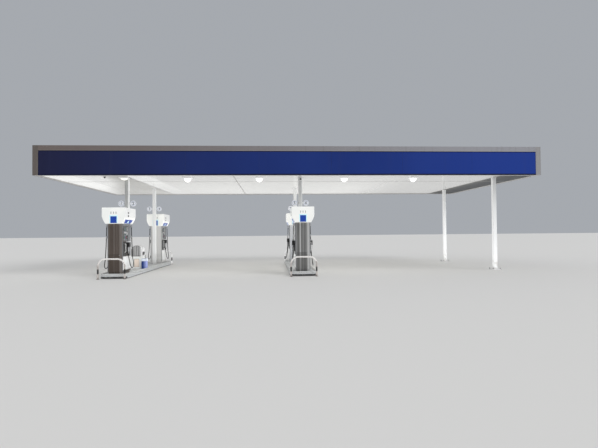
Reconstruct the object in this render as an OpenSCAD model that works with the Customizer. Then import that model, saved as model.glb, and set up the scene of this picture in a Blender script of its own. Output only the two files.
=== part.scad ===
/* [Canopy] */
// Length of the canopy along its front
canopy_len = 19500; // [17000:50:24000]
// Depth of the canopy from its front face to its back face
canopy_depth = 8690; // [7600:10:11000]
// Height from the ground to the underside of the fascia
clear_height = 3810; // [3500:10:4900]
// Height of the fascia
fascia_h = 1120; // [1000:10:1400]

/* [Fascia] */
// Thickness of the blue fascia panels
panel_t = 50; // [30:1:60]
// Thickness of the pale trims over the panels
trim_t = 12; // [6:1:15]
// Height of the pale band along the top
top_band_h = 190; // [120:5:260]
// Width of the pale band at each end of a face
end_band_w = 200; // [120:5:320]
// Width of the coping across the top of the fascia
coping_w = 130; // [115:1:160]
// Thickness of the drip edge under the fascia
drip_t = 25; // [15:1:40]
// Width of the drip edge, which also carries the rim of the deck
drip_w = 165; // [150:1:220]
// Joint between neighbouring lengths of trim
trim_gap = 3; // [1:1:6]
// Thickness of the rails and studs behind the panels
rail_w = 50; // [35:1:50]
// Largest distance between two studs
stud_pitch = 1250; // [900:10:1800]

/* [Deck] */
// Width of one deck pan, front to back
pan_w = 406; // [300:1:450]
// Thickness of the pan's flat underside
pan_t = 8; // [5:1:12]
// Height of the standing legs between two pans
pan_leg_h = 75; // [50:1:110]
// Thickness of the standing legs
pan_leg_t = 12; // [6:1:20]
// Width of the groove that shows between two pans
groove_w = 10; // [6:1:14]
// Depth of that groove
groove_d = 4; // [2:1:4]
// Distance from the left row of columns to the first end lap, to the right
seam_left = 165; // [150:5:900]
// Distance from the left row of columns to the second end lap, to the right
seam_right = 4250; // [2800:5:4900]
// Gap between the deck and what passes through it
deck_gap = 3; // [1:1:6]

/* [Steel frame] */
// Depth of the two main beams
beam_d = 410; // [300:5:450]
// Width of the main beams' flanges
beam_w = 180; // [140:5:240]
// Thickness of the main beams' flanges
beam_flange_t = 14; // [10:1:22]
// Thickness of the main beams' webs
beam_web_t = 10; // [7:1:16]
// Distance from the end of a main beam to the end of the canopy
beam_end_gap = 320; // [200:10:700]
// Depth of the purlins and of the cross beam on the right columns
purlin_d = 200; // [150:5:200]
// Width of the purlins' flanges
purlin_w = 100; // [80:2:140]
// Thickness of the purlins' flanges and web
purlin_t = 8; // [6:1:14]
// Usual distance between two purlins
purlin_pitch = 2050; // [1400:10:2600]
// Distance from the end purlins to the end of the canopy
purlin_end_gap = 300; // [240:10:600]
// Width of the cross beam's flanges
header_w = 200; // [160:5:250]
// Distance that the cross beam runs on past the right columns
header_over = 200; // [130:5:500]

/* [Columns] */
// Outer width of the square columns
col_w = 152; // [140:2:180]
// Wall of the columns
col_wall = 9; // [6:1:14]
// Distance from the left end of the canopy to the left row
row_left_in = 3090; // [2800:5:3500]
// Distance from the left row to the middle row
row_pitch = 6900; // [6300:10:7500]
// Distance from the right end of the canopy to the right row
row_right_in = 1380; // [850:5:1900]
// Distance from the front face to the front line of columns
front_line = 1085; // [1050:5:1100]
// Distance from the front face to the back line of columns
back_line = 5125; // [5000:5:5125]
// Distance from the front face to the back column of the right row
right_back_line = 6415; // [6000:5:7200]
// Width of the plates on the column heads
cap_w = 250; // [200:5:260]
// Thickness of those plates
cap_t = 20; // [12:1:30]
// Width of the base plates of the right row
base_w = 400; // [340:5:480]
// Thickness of those base plates
base_t = 25; // [16:1:40]
// Distance between the anchor holes
bolt_gauge = 300; // [260:5:320]
// Diameter of the anchor holes
bolt_hole_d = 27; // [18:1:33]

/* [Canopy lights] */
// Width of the lights' square housings
light_w = 340; // [300:5:420]
// Height of the housing below the deck
light_drop = 60; // [30:1:80]
// Diameter of the lens that hangs under the housing
lens_d = 310; // [220:5:330]
// Depth of that lens
lens_h = 160; // [60:5:180]
// Height of the light's box above the deck's underside
light_box_h = 65; // [40:1:70]
// Width of the rim that covers the edge of the hole
light_rim = 20; // [12:1:40]
// Distance from the front face to the row of lights
light_line = 790; // [740:5:795]
// Distance from the left row of columns to the first light, to the left
light_first = 20; // [0:5:200]
// Distances from each light to the next, from left to right
light_steps = [2450, 2820, 3420, 2830]; // [2400:10:3500]

/* [Cameras] */
// Diameter of the dome camera under the deck
dome_d = 110; // [80:2:150]
// Height of the dome camera's base
dome_base_h = 30; // [20:1:45]
// Width of the base's rim round the dome
dome_rim = 5; // [2:1:10]
// Distance from the left end of the canopy to the dome camera
dome_from_end = 2380; // [2000:10:2500]
// Distance from the front face to the dome camera
dome_line = 625; // [400:5:700]
// Length of the box camera on the middle front column
box_cam_len = 170; // [120:5:220]
// Width and height of the box camera
box_cam_w = 70; // [50:2:85]
// Distance from the deck down to the underside of the box camera
box_cam_drop = 120; // [90:5:300]
// Length of the box camera's arm
box_arm_len = 60; // [40:5:100]
// Width and height of that arm
box_arm_w = 30; // [20:1:40]

/* [Number flags] */
// Diameter of the round flags
flag_d = 230; // [180:5:260]
// Distance from the column's axis to a flag's axis
flag_off = 235; // [210:5:300]
// Thickness of the flags
flag_t = 14; // [8:1:24]
// Height of the flags' axis above the ground
flag_z = 2820; // [2780:5:3200]
// Height of the bar that carries them
flag_bar_h = 40; // [24:1:60]
// Thickness of that bar
flag_bar_t = 8; // [5:1:12]

/* [Islands] */
// Width of the islands
island_w = 980; // [900:5:1200]
// Height of the islands
island_h = 140; // [100:5:200]
// Radius of the islands' corners
island_r = 240; // [150:5:300]
// Distance that the islands stand out in front of the canopy
island_out = 535; // [510:5:600]
// Distance from the back dispensers to the back end of the islands
island_tail = 255; // [150:5:600]

/* [Hoop guards] */
// Distance between the legs of a hoop, axis to axis
hoop_w = 940; // [850:5:1050]
// Height of the hoops
hoop_h = 750; // [600:5:900]
// Outer diameter of the hoops' tube
hoop_d = 60; // [42:1:80]
// Radius of the bends, at the tube's axis
hoop_r = 260; // [150:5:320]
// Distance from the end of an island to the hoop's axis
hoop_off = 140; // [100:5:300]
// Diameter of the flange under each leg
hoop_flange_d = 120; // [100:2:150]
// Thickness of those flanges
hoop_flange_t = 10; // [6:1:16]

/* [Dispensers] */
// Distance from the front face of the canopy to the front dispensers
disp_front = 160; // [130:5:180]
// Distance from the front face of the canopy to the back dispensers
disp_back = 5910; // [5890:5:5950]
// Width of a dispenser's cabinet, across the island
cab_w = 550; // [460:5:640]
// Length of a dispenser's cabinet, along the island
cab_len = 880; // [850:5:960]
// Height of the cabinet
cab_h = 1850; // [1800:5:2000]
// Height of the recessed plinth under the cabinet
plinth_h = 80; // [40:5:120]
// Depth of the recess round the plinth
plinth_in = 30; // [15:1:60]
// Number of grooves down each end of the cabinet
end_grooves = 7; // [3:1:10]
// Width of those grooves
end_groove_w = 16; // [8:1:24]
// Depth of those grooves
end_groove_d = 8; // [4:1:14]
// Depth of the recess round the customer's panel
face_in = 14; // [8:1:24]
// Width of the frame round the customer's panel
face_frame = 90; // [60:5:140]
// Distance from the top of the boot to the customer's panel
face_gap = 20; // [10:1:60]
// Width kept beside the customer's panel for the hose
face_side = 240; // [200:5:320]
// Width of the lit head, across the island
head_w = 850; // [760:5:900]
// Length of the lit head, along the island
head_len = 1220; // [1150:5:1260]
// Height of the lit head
head_h = 590; // [480:5:620]
// Width of the curve at the head's lower edges
head_curve_w = 125; // [60:5:140]
// Height of that curve
head_curve_h = 290; // [120:5:320]

/* [Nozzles and hoses] */
// Width of the nozzle's boot, along the island
boot_w = 170; // [150:2:200]
// Distance that the boot stands out of the cabinet
boot_out = 115; // [110:1:130]
// Height of the boot
boot_h = 190; // [150:5:220]
// Wall of the boot
boot_wall = 12; // [8:1:16]
// Thickness of the pad behind the nozzle
pad_t = 40; // [36:1:44]
// Height of that pad
pad_h = 240; // [200:5:300]
// Diameter of the nozzle's grip
grip_d = 46; // [36:1:50]
// Length of the nozzle's grip
grip_len = 220; // [180:5:225]
// Thickness of the guard in front of the grip
guard_t = 24; // [16:1:30]
// Distance from the hose to the foot of the guard
guard_low = 40; // [20:1:60]
// Distance from the boot down to the top of the guard
guard_high = 15; // [8:1:40]
// Diameter of the nozzle's spout
spout_d = 24; // [20:1:28]
// Diameter of the hoses
hose_d = 30; // [24:1:34]
// Thickness of the outlet's arm round the bore of the hose
outlet_wall = 5; // [3:1:8]
// Thickness of the swivel round the hose's end
swivel_wall = 7; // [4:1:10]
// Height of that swivel
swivel_h = 60; // [50:2:80]

/* [Waste bin and washer] */
// Distance from the front face of the canopy to the waste bin
bin_line = 2495; // [2300:5:2900]
// Width of the bin's body
bin_w = 420; // [380:5:440]
// Height of the bin's body
bin_h = 520; // [450:5:650]
// Wall of the bin and its hood
bin_wall = 14; // [8:1:20]
// Height of the hood's straight sides
hood_side_h = 230; // [170:5:280]
// Distance that the hood stands out past the body
hood_over = 15; // [8:1:30]
// Height of the mouth in each side of the hood
mouth_h = 130; // [100:5:150]
// Length of the mouth, along the island
mouth_len = 300; // [220:5:340]
// Distance from the front face of the canopy to the washer bucket
bucket_line = 2265; // [2100:5:2900]
// Gap between the hood of the bin and the washer bucket
bucket_gap = 10; // [4:1:25]
// Width of the washer bucket
bucket_w = 200; // [170:5:220]
// Height of the washer bucket
bucket_h = 430; // [320:5:480]
// Wall of the washer bucket
bucket_wall = 8; // [5:1:12]
// Length of the squeegee's handle
squeegee_len = 560; // [520:5:700]
// Diameter of the squeegee's handle
squeegee_d = 22; // [16:1:28]
// Length of the squeegee's blade
blade_len = 160; // [120:5:180]
// Height of that blade
blade_h = 40; // [25:1:60]

/* [Hidden] */

EPS = 1;
ROUND = 48;
FACETS = 12;

// The box round everything is centred on the origin, hoops included
reach_front = island_out + hoop_off + hoop_flange_d / 2;
front_y = (reach_front - canopy_depth) / 2;
back_y = front_y + canopy_depth;
half_len = canopy_len / 2;

// Levels
fascia_top = clear_height + fascia_h;
soffit_z = clear_height + drip_t;
purlin_z = soffit_z + pan_leg_h;
beam_z = purlin_z + purlin_d;
coping_z = fascia_top - trim_t;

// The column rows and lines
left_x = -half_len + row_left_in;
mid_x = left_x + row_pitch;
right_x = half_len - row_right_in;
front_col_y = front_y + front_line;
back_col_y = front_y + back_line;
right_back_y = front_y + right_back_line;
columns = [
    [left_x, front_col_y], [left_x, back_col_y],
    [mid_x, front_col_y], [mid_x, back_col_y],
    [right_x, front_col_y], [right_x, right_back_y]
];

// The inner face of the rails, where deck and purlins end
inner_in = trim_t + panel_t + rail_w;
deck_in = inner_in + deck_gap;

// The end laps of the deck, and the lights from left to right
seam_x = [left_x + seam_left, left_x + seam_right];
function steps_to(n) = n == 0 ? 0 : light_steps[n - 1] + steps_to(n - 1);
light_x = [for (i = [0:len(light_steps)]) left_x - light_first + steps_to(i)];
light_y = front_y + light_line;

// The islands and the dispensers on them
island_top = island_h;
disp_y = [front_y + disp_front, front_y + disp_back];
head_z = island_top + cab_h;
island_y0 = front_y - island_out;
island_y1 = disp_y[1] + cab_len / 2 + island_tail;
island_len = island_y1 - island_y0;

// The washer bucket stands beside the bin, on the lane's side
bucket_x = left_x + bin_w / 2 + hood_over + bucket_gap + bucket_w / 2;

// The nozzle hangs in front of a pad on the cabinet's side
nozzle_x = cab_w / 2 + pad_t + grip_d / 2;
boot_z = 1000;
grip_z = boot_z - grip_len;
outlet_z = cab_h - swivel_h;
outlet_y = 330;
outlet_out = 70;

// The hose's route for one side: distance out of the cabinet's side,
// distance along the island from the nozzle, and height above the island
HOSE_ROUTE = [
    [63, 0, 780], [65, 0, 720], [72, 0, 630], [86, 0, 530], [102, 0, 440],
    [117, 0, 360], [133, 22, 278], [145, 83, 217], [152, 165, 195],
    [154, 248, 217], [150, 308, 278], [143, 330, 360], [134, 330, 440],
    [118, 330, 540], [103, 330, 760], [90, 330, 1020], [80, 330, 1300],
    [73, 330, 1560], [70, 330, 1700], [70, 330, 1760]
];
HOSE_SIDES = 8;

// Purlins stand at both ends, and stay half a bay clear of the columns
left_end = -half_len + purlin_end_gap;
function bays(a, b) = let (n = max(1, round((b - a) / purlin_pitch)))
    [for (i = [0:n - 1]) a + (i + 0.5) * (b - a) / n];
purlin_x = concat([left_end], bays(left_end, left_x), bays(left_x, mid_x),
                  bays(mid_x, right_x), [half_len - purlin_end_gap]);

// A box by its lowest and highest corners
module box(low, high) translate(low) cube(high - low);

// The outline of an I-beam with its bottom at zero, centred across
module i_section(d, w, flange_t, web_t) {
    translate([-w / 2, 0]) square([w, flange_t]);
    translate([-w / 2, d - flange_t]) square([w, flange_t]);
    translate([-web_t / 2, 0]) square([web_t, d]);
}

// An extrusion along X and one along Y of an outline given across and up
module along_x(len) rotate([90, 0, 90]) linear_extrude(len) children();
module along_y(len) rotate([90, 0, 0]) mirror([0, 0, 1]) linear_extrude(len) children();

// Cuts on the four diagonals that part a ring into four lengths
module corner_cuts(z0, z1) {
    reach = 2 * max(coping_w, drip_w);
    for (sx = [-1, 1], end = [[front_y, 1], [back_y, -1]])
        translate([sx * half_len, end[0], z0])
            rotate([0, 0, sx * end[1] > 0 ? 135 : 45])
                translate([-reach, -trim_gap / 2, 0]) cube([2 * reach, trim_gap, z1 - z0]);
}

module ring(w_in, w_out, z0, z1) difference() {
    box([-half_len + w_in, front_y + w_in, z0], [half_len - w_in, back_y - w_in, z1]);
    box([-half_len + w_out, front_y + w_out, z0 - EPS],
        [half_len - w_out, back_y - w_out, z1 + EPS]);
}

module fascia_front() color([0.05, 0.12, 0.42])
    box([-half_len + trim_t, front_y + trim_t, soffit_z],
        [half_len - trim_t, front_y + trim_t + panel_t, coping_z]);

module fascia_back() color([0.05, 0.12, 0.42])
    box([-half_len + trim_t, back_y - trim_t - panel_t, soffit_z],
        [half_len - trim_t, back_y - trim_t, coping_z]);

module fascia_end(x0) color([0.05, 0.12, 0.42])
    box([x0, front_y + trim_t + panel_t, soffit_z],
        [x0 + panel_t, back_y - trim_t - panel_t, coping_z]);

module fascia_left() fascia_end(-half_len + trim_t);

module fascia_right() fascia_end(half_len - trim_t - panel_t);

module coping() color([0.82, 0.83, 0.85]) difference() {
    union() {
        ring(0, trim_t, fascia_top - top_band_h, fascia_top);
        ring(0, coping_w, coping_z, fascia_top);
    }
    corner_cuts(fascia_top - top_band_h - EPS, fascia_top + EPS);
}

module corner_trims() color([0.82, 0.83, 0.85])
    for (sx = [-1, 1], sy = [-1, 1]) {
        y0 = sy < 0 ? front_y : back_y;
        difference() {
            box([min(sx * half_len, sx * (half_len - end_band_w)),
                 min(y0, y0 - sy * end_band_w), soffit_z],
                [max(sx * half_len, sx * (half_len - end_band_w)),
                 max(y0, y0 - sy * end_band_w), fascia_top - top_band_h]);
            box([min(sx * (half_len - trim_t), sx * (half_len - end_band_w - EPS)),
                 min(y0 - sy * trim_t, y0 - sy * (end_band_w + EPS)), soffit_z - EPS],
                [max(sx * (half_len - trim_t), sx * (half_len - end_band_w - EPS)),
                 max(y0 - sy * trim_t, y0 - sy * (end_band_w + EPS)), fascia_top]);
        }
    }

module drip_edge() color([0.82, 0.83, 0.85]) difference() {
    ring(0, drip_w, clear_height, soffit_z);
    corner_cuts(clear_height - EPS, soffit_z + EPS);
}

// One ladder of rails and studs, given along its length and up
module ladder(len) {
    n = ceil((len - rail_w) / stud_pitch);
    top = coping_z - soffit_z;
    for (z = [0, purlin_z - soffit_z + (purlin_d - rail_w) / 2, top - rail_w])
        translate([0, z]) square([len, rail_w]);
    for (i = [0:n]) translate([i * (len - rail_w) / n, 0]) square([rail_w, top]);
}

module fascia_frame() color([0.45, 0.46, 0.47]) {
    edge = trim_t + panel_t;
    for (y = [front_y + edge + rail_w, back_y - edge])
        translate([-half_len + edge, y, soffit_z])
            rotate([90, 0, 0]) linear_extrude(rail_w) ladder(canopy_len - 2 * edge);
    for (x = [-half_len + edge, half_len - edge - rail_w])
        translate([x, front_y + edge + rail_w + trim_gap, soffit_z])
            along_x(rail_w) ladder(canopy_depth - 2 * (edge + rail_w + trim_gap));
}

// The deck's outline across the pans: flat undersides, grooves and legs
module deck_section() {
    depth = canopy_depth - 2 * deck_in;
    joints = floor(depth / pan_w);
    first = (depth - joints * pan_w) / 2;
    difference() {
        union() {
            square([depth, pan_t]);
            for (i = [0:joints]) translate([first + i * pan_w - pan_leg_t / 2, 0])
                square([pan_leg_t, pan_leg_h]);
        }
        for (i = [0:joints]) translate([first + i * pan_w, 0])
            polygon([[-groove_w / 2, -EPS], [groove_w / 2, -EPS], [0, groove_d]]);
    }
}

module deck(x0, x1) color([0.93, 0.94, 0.95]) difference() {
    translate([x0, front_y + deck_in, soffit_z]) along_x(x1 - x0) deck_section();
    for (c = columns) {
        hole = col_w / 2 + deck_gap;
        pocket = cap_w / 2 + deck_gap;
        box([c[0] - hole, c[1] - hole, soffit_z - EPS],
            [c[0] + hole, c[1] + hole, purlin_z + EPS]);
        box([c[0] - pocket, c[1] - pocket, soffit_z + pan_t],
            [c[0] + pocket, c[1] + pocket, purlin_z + EPS]);
    }
    for (x = light_x) {
        hole = light_w / 2 - light_rim + deck_gap;
        box([x - hole, light_y - hole, soffit_z - EPS],
            [x + hole, light_y + hole, purlin_z + EPS]);
    }
}

module deck_left() deck(-half_len + deck_in, seam_x[0] - deck_gap / 2);

module deck_mid() deck(seam_x[0] + deck_gap / 2, seam_x[1] - deck_gap / 2);

module deck_right() deck(seam_x[1] + deck_gap / 2, half_len - deck_in);

module main_beam(y) color([0.52, 0.53, 0.54])
    translate([-half_len + beam_end_gap, y, beam_z])
        along_x(canopy_len - 2 * beam_end_gap)
            i_section(beam_d, beam_w, beam_flange_t, beam_web_t);

module beam_front() main_beam(front_col_y);

module beam_back() main_beam(back_col_y);

module cross_beam() color([0.52, 0.53, 0.54])
    translate([right_x, front_col_y - header_over, purlin_z])
        along_y(right_back_y - front_col_y + 2 * header_over)
            i_section(purlin_d, header_w, beam_flange_t, beam_web_t);

module purlins() color([0.52, 0.53, 0.54])
    for (x = purlin_x) translate([x, front_y + inner_in, purlin_z])
        along_y(canopy_depth - 2 * inner_in)
            i_section(purlin_d, purlin_w, purlin_t, purlin_t);

// A square tube with a head plate and, on the right row, a base plate
module column(c, top, has_base) color([0.90, 0.91, 0.93]) {
    half = col_w / 2;
    difference() {
        box([c[0] - half, c[1] - half, 0], [c[0] + half, c[1] + half, top - cap_t]);
        box([c[0] - half + col_wall, c[1] - half + col_wall, has_base ? base_t : col_wall],
            [c[0] + half - col_wall, c[1] + half - col_wall, top - cap_t + EPS]);
    }
    box([c[0] - cap_w / 2, c[1] - cap_w / 2, top - cap_t],
        [c[0] + cap_w / 2, c[1] + cap_w / 2, top]);
    if (has_base) difference() {
        box([c[0] - base_w / 2, c[1] - base_w / 2, 0],
            [c[0] + base_w / 2, c[1] + base_w / 2, base_t]);
        for (sx = [-1, 1], sy = [-1, 1])
            translate([c[0] + sx * bolt_gauge / 2, c[1] + sy * bolt_gauge / 2, -EPS])
                cylinder(h = base_t + 2 * EPS, d = bolt_hole_d, $fn = ROUND);
    }
}

module column_left_front() column(columns[0], beam_z, false);

module column_left_back() column(columns[1], beam_z, false);

module column_mid_front() column(columns[2], beam_z, false);

module column_mid_back() column(columns[3], beam_z, false);

module column_right_front() column(columns[4], purlin_z, true);

module column_right_back() column(columns[5], purlin_z, true);

// A housing under the deck, a box above it, and a lens that hangs as a bowl
module canopy_lights() color([0.97, 0.97, 0.93])
    for (x = light_x) translate([x, light_y, soffit_z]) {
        half = light_w / 2;
        inner = half - light_rim;
        box([-half, -half, -light_drop], [half, half, 0]);
        box([-inner, -inner, 0], [inner, inner, light_box_h]);
        translate([0, 0, -light_drop]) rotate_extrude($fn = ROUND)
            polygon(concat([[0, 0]], [for (a = [0:15:90])
                [lens_d / 2 * cos(a), -lens_h * sin(a)]]));
    }

module security_cameras() color([0.12, 0.12, 0.13]) {
    translate([-half_len + dome_from_end, front_y + dome_line, soffit_z - dome_base_h]) {
        cylinder(h = dome_base_h, d = dome_d, $fn = ROUND);
        difference() {
            sphere(d = dome_d - 2 * dome_rim, $fn = ROUND);
            translate([0, 0, dome_d / 2]) cube(dome_d, center = true);
        }
    }
    translate([mid_x, front_col_y - col_w / 2, soffit_z - box_cam_drop]) {
        translate([-box_arm_w / 2, -box_arm_len, (box_cam_w - box_arm_w) / 2])
            cube([box_arm_w, box_arm_len, box_arm_w]);
        translate([-box_cam_w / 2, -box_arm_len - box_cam_len, 0])
            cube([box_cam_w, box_cam_len, box_cam_w]);
    }
}

// Each flag stands on an arm that comes straight out of the column's side
module number_flags() color([0.93, 0.94, 0.96])
    for (i = [0:3], sx = [-1, 1]) translate([columns[i][0], columns[i][1], flag_z]) {
        box([min(sx * col_w / 2, sx * flag_off), -flag_bar_t / 2, -flag_bar_h / 2],
            [max(sx * col_w / 2, sx * flag_off), flag_bar_t / 2, flag_bar_h / 2]);
        translate([sx * flag_off, -flag_bar_t / 2, 0])
            rotate([90, 0, 0]) cylinder(h = flag_t, d = flag_d, $fn = ROUND);
    }

module island(x, cols) color([0.62, 0.61, 0.58]) difference() {
    translate([x - island_w / 2, island_y0, 0]) linear_extrude(island_h) {
        translate([island_r, 0]) square([island_w - 2 * island_r, island_len]);
        translate([0, island_r]) square([island_w, island_len - 2 * island_r]);
        for (i = [0, 1], j = [0, 1])
            translate([i ? island_w - island_r : island_r, j ? island_len - island_r : island_r])
                circle(r = island_r, $fn = ROUND);
    }
    for (c = cols) box([c[0] - col_w / 2, c[1] - col_w / 2, -EPS],
                       [c[0] + col_w / 2, c[1] + col_w / 2, island_h + EPS]);
}

module island_left() island(left_x, [columns[0], columns[1]]);

module island_mid() island(mid_x, [columns[2], columns[3]]);

// A hoop of round tube: two legs, two quarter bends and a top rail
module hoop(x, y) color([0.86, 0.87, 0.88]) translate([x, y, 0]) {
    leg_h = hoop_h - hoop_d / 2 - hoop_r;
    for (sx = [-1, 1]) {
        translate([sx * hoop_w / 2, 0, 0]) {
            cylinder(h = leg_h, d = hoop_d, $fn = ROUND);
            cylinder(h = hoop_flange_t, d = hoop_flange_d, $fn = ROUND);
        }
        translate([sx * (hoop_w / 2 - hoop_r), 0, leg_h]) rotate([90, 0, 0])
            rotate([0, 0, sx > 0 ? 0 : 90])
                rotate_extrude(angle = 90, $fn = 2 * ROUND)
                    translate([hoop_r, 0]) circle(d = hoop_d, $fn = ROUND);
    }
    translate([-hoop_w / 2 + hoop_r, 0, leg_h + hoop_r]) rotate([0, 90, 0])
        cylinder(h = hoop_w - 2 * hoop_r, d = hoop_d, $fn = ROUND);
}

module hoops_left() for (y = [island_y0 - hoop_off, island_y1 + hoop_off]) hoop(left_x, y);

module hoops_mid() for (y = [island_y0 - hoop_off, island_y1 + hoop_off]) hoop(mid_x, y);

// The boot is a hood over the spout, and the pad below it carries the nozzle
module boot() {
    x0 = cab_w / 2;
    difference() {
        box([x0 - EPS, -boot_w / 2, boot_z], [x0 + boot_out, boot_w / 2, boot_z + boot_h]);
        box([x0 + boot_wall, -boot_w / 2 + boot_wall, boot_z - EPS],
            [x0 + boot_out - boot_wall, boot_w / 2 - boot_wall, boot_z + boot_h - boot_wall]);
    }
    box([x0 - EPS, -boot_w / 2, boot_z - pad_h], [x0 + pad_t, boot_w / 2, boot_z]);
    translate([x0 - EPS, outlet_y, outlet_z]) rotate([0, 90, 0])
        cylinder(h = outlet_out + EPS, d = hose_d + 2 * outlet_wall, $fn = ROUND);
    translate([x0 + outlet_out, outlet_y, outlet_z - swivel_h / 2])
        cylinder(h = swivel_h, d = hose_d + 2 * swivel_wall, $fn = ROUND);
}

module cabinet(x, y) color([0.62, 0.61, 0.60]) translate([x, y, island_top]) {
    half_w = cab_w / 2;
    half_l = cab_len / 2;
    pitch = (cab_w - 2 * plinth_in) / end_grooves;
    box([-half_w + plinth_in, -half_l + plinth_in, 0],
        [half_w - plinth_in, half_l - plinth_in, plinth_h]);
    difference() {
        box([-half_w, -half_l, plinth_h], [half_w, half_l, cab_h]);
        for (i = [0:end_grooves - 1], sy = [-1, 1])
            translate([-half_w + plinth_in + (i + 0.5) * pitch - end_groove_w / 2,
                       sy * half_l - end_groove_d, plinth_h + face_frame])
                cube([end_groove_w, 2 * end_groove_d, cab_h - plinth_h - 2 * face_frame]);
        for (sx = [-1, 1])
            translate([sx * half_w - face_in, -half_l + face_frame, boot_z + boot_h + face_gap])
                cube([2 * face_in, 2 * (half_l - face_frame) - face_side,
                      cab_h - face_frame - boot_z - boot_h - face_gap]);
    }
    boot();
    rotate([0, 0, 180]) boot();
}

module cabinet_left_front() cabinet(left_x, disp_y[0]);

module cabinet_left_back() cabinet(left_x, disp_y[1]);

module cabinet_mid_front() cabinet(mid_x, disp_y[0]);

module cabinet_mid_back() cabinet(mid_x, disp_y[1]);

// The head's end outline: a flat top, and lower edges that curve in
module head_section() {
    steps = 8;
    half = head_w / 2;
    curve = [for (i = [0:steps]) let (t = i / steps)
        [half - head_curve_w * pow(1 - t, 1.5), head_curve_h * t]];
    polygon(concat(curve, [[half, head_h], [-half, head_h]],
                   [for (i = [steps:-1:0]) [-curve[i][0], curve[i][1]]]));
}

module head(x, y) color([0.95, 0.97, 0.98])
    translate([x, y - head_len / 2, head_z]) along_y(head_len) head_section();

module head_left_front() head(left_x, disp_y[0]);

module head_left_back() head(left_x, disp_y[1]);

module head_mid_front() head(mid_x, disp_y[0]);

module head_mid_back() head(mid_x, disp_y[1]);

// A nozzle hangs upright: the hose end is down and the spout goes up into the boot
module nozzle() translate([nozzle_x, 0, 0]) {
    translate([0, 0, grip_z]) cylinder(h = grip_len, d = grip_d, $fn = ROUND);
    translate([0, 0, boot_z]) cylinder(h = boot_h - 2 * boot_wall, d = spout_d, $fn = ROUND);
    box([0, -guard_t / 2, grip_z + guard_low], [boot_out - pad_t, guard_t / 2, boot_z - guard_high]);
}

module nozzles(x) color([0.10, 0.10, 0.11])
    for (y = disp_y, turn = [0, 180])
        translate([x, y, island_top]) rotate([0, 0, turn]) nozzle();

module nozzles_left() nozzles(left_x);

module nozzles_mid() nozzles(mid_x);

// A tube swept along the route, with each ring square to the route
function unit(v) = v / norm(v);
function heading(p, i) = unit(p[min(i + 1, len(p) - 1)] - p[max(i - 1, 0)]);
function ring_points(p, i, r) = let (
        t = heading(p, i),
        u = unit(cross([1, 0, 0], t)),
        v = cross(t, u)
    ) [for (k = [0:HOSE_SIDES - 1]) let (a = 360 * k / HOSE_SIDES)
        p[i] + r * (cos(a) * u + sin(a) * v)];

module hose(points, d) {
    n = len(points);
    s = HOSE_SIDES;
    polyhedron(
        [for (i = [0:n - 1]) each ring_points(points, i, d / 2)],
        concat(
            [[for (k = [0:s - 1]) k]],
            [for (i = [0:n - 2], k = [0:s - 1])
                [i * s + k, (i + 1) * s + k, (i + 1) * s + (k + 1) % s, i * s + (k + 1) % s]],
            [[for (k = [s - 1:-1:0]) (n - 1) * s + k]]
        ));
}

module hoses(x) color([0.08, 0.08, 0.09])
    for (y = disp_y, turn = [0, 180])
        translate([x, y, island_top]) rotate([0, 0, turn]) translate([cab_w / 2, 0, 0])
            hose(HOSE_ROUTE, hose_d);

module hoses_left() hoses(left_x);

module hoses_mid() hoses(mid_x);

module bin_body() color([0.90, 0.90, 0.88])
    translate([left_x, front_y + bin_line, island_top]) difference() {
        half = bin_w / 2;
        box([-half, -half, 0], [half, half, bin_h]);
        box([-half + bin_wall, -half + bin_wall, bin_wall],
            [half - bin_wall, half - bin_wall, bin_h + EPS]);
    }

// The hood is a folded vault of flat facets on straight sides, with a mouth in each side
module hood_section(inset) {
    r = bin_w / 2 + hood_over - inset;
    translate([-r, 0]) square([2 * r, hood_side_h]);
    intersection() {
        translate([0, hood_side_h]) rotate(180 / FACETS)
            circle(r = r / cos(180 / FACETS), $fn = FACETS);
        translate([-r, 0]) square([2 * r, hood_side_h + r]);
    }
}

module bin_hood() color([0.75, 0.76, 0.77])
    translate([left_x, front_y + bin_line, island_top + bin_h]) difference() {
        len = bin_w + 2 * hood_over;
        translate([0, -len / 2, 0]) along_y(len) hood_section(0);
        translate([0, -len / 2 + bin_wall, -EPS]) along_y(len - 2 * bin_wall)
            hood_section(hood_over + bin_wall);
        box([-len, -mouth_len / 2, (hood_side_h - mouth_h) / 2],
            [len, mouth_len / 2, (hood_side_h + mouth_h) / 2]);
    }

module washer_bucket() color([0.08, 0.25, 0.70])
    translate([bucket_x, front_y + bucket_line, island_top]) difference() {
        half = bucket_w / 2;
        box([-half, -half, 0], [half, half, bucket_h]);
        box([-half + bucket_wall, -half + bucket_wall, bucket_wall],
            [half - bucket_wall, half - bucket_wall, bucket_h + EPS]);
    }

module squeegee() color([0.12, 0.12, 0.13])
    translate([bucket_x, front_y + bucket_line + bucket_w / 2 - bucket_wall - squeegee_d / 2,
               island_top + bucket_wall]) {
        translate([-blade_len / 2, -squeegee_d / 2, 0]) cube([blade_len, squeegee_d, blade_h]);
        cylinder(h = squeegee_len, d = squeegee_d, $fn = ROUND);
    }

fascia_front();
fascia_back();
fascia_left();
fascia_right();
coping();
corner_trims();
drip_edge();
fascia_frame();
deck_left();
deck_mid();
deck_right();
beam_front();
beam_back();
cross_beam();
purlins();
column_left_front();
column_left_back();
column_mid_front();
column_mid_back();
column_right_front();
column_right_back();
canopy_lights();
security_cameras();
number_flags();
island_left();
island_mid();
hoops_left();
hoops_mid();
cabinet_left_front();
cabinet_left_back();
cabinet_mid_front();
cabinet_mid_back();
head_left_front();
head_left_back();
head_mid_front();
head_mid_back();
nozzles_left();
nozzles_mid();
hoses_left();
hoses_mid();
bin_body();
bin_hood();
washer_bucket();
squeegee();
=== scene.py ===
import math

import bpy
from mathutils import Matrix, Vector


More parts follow.
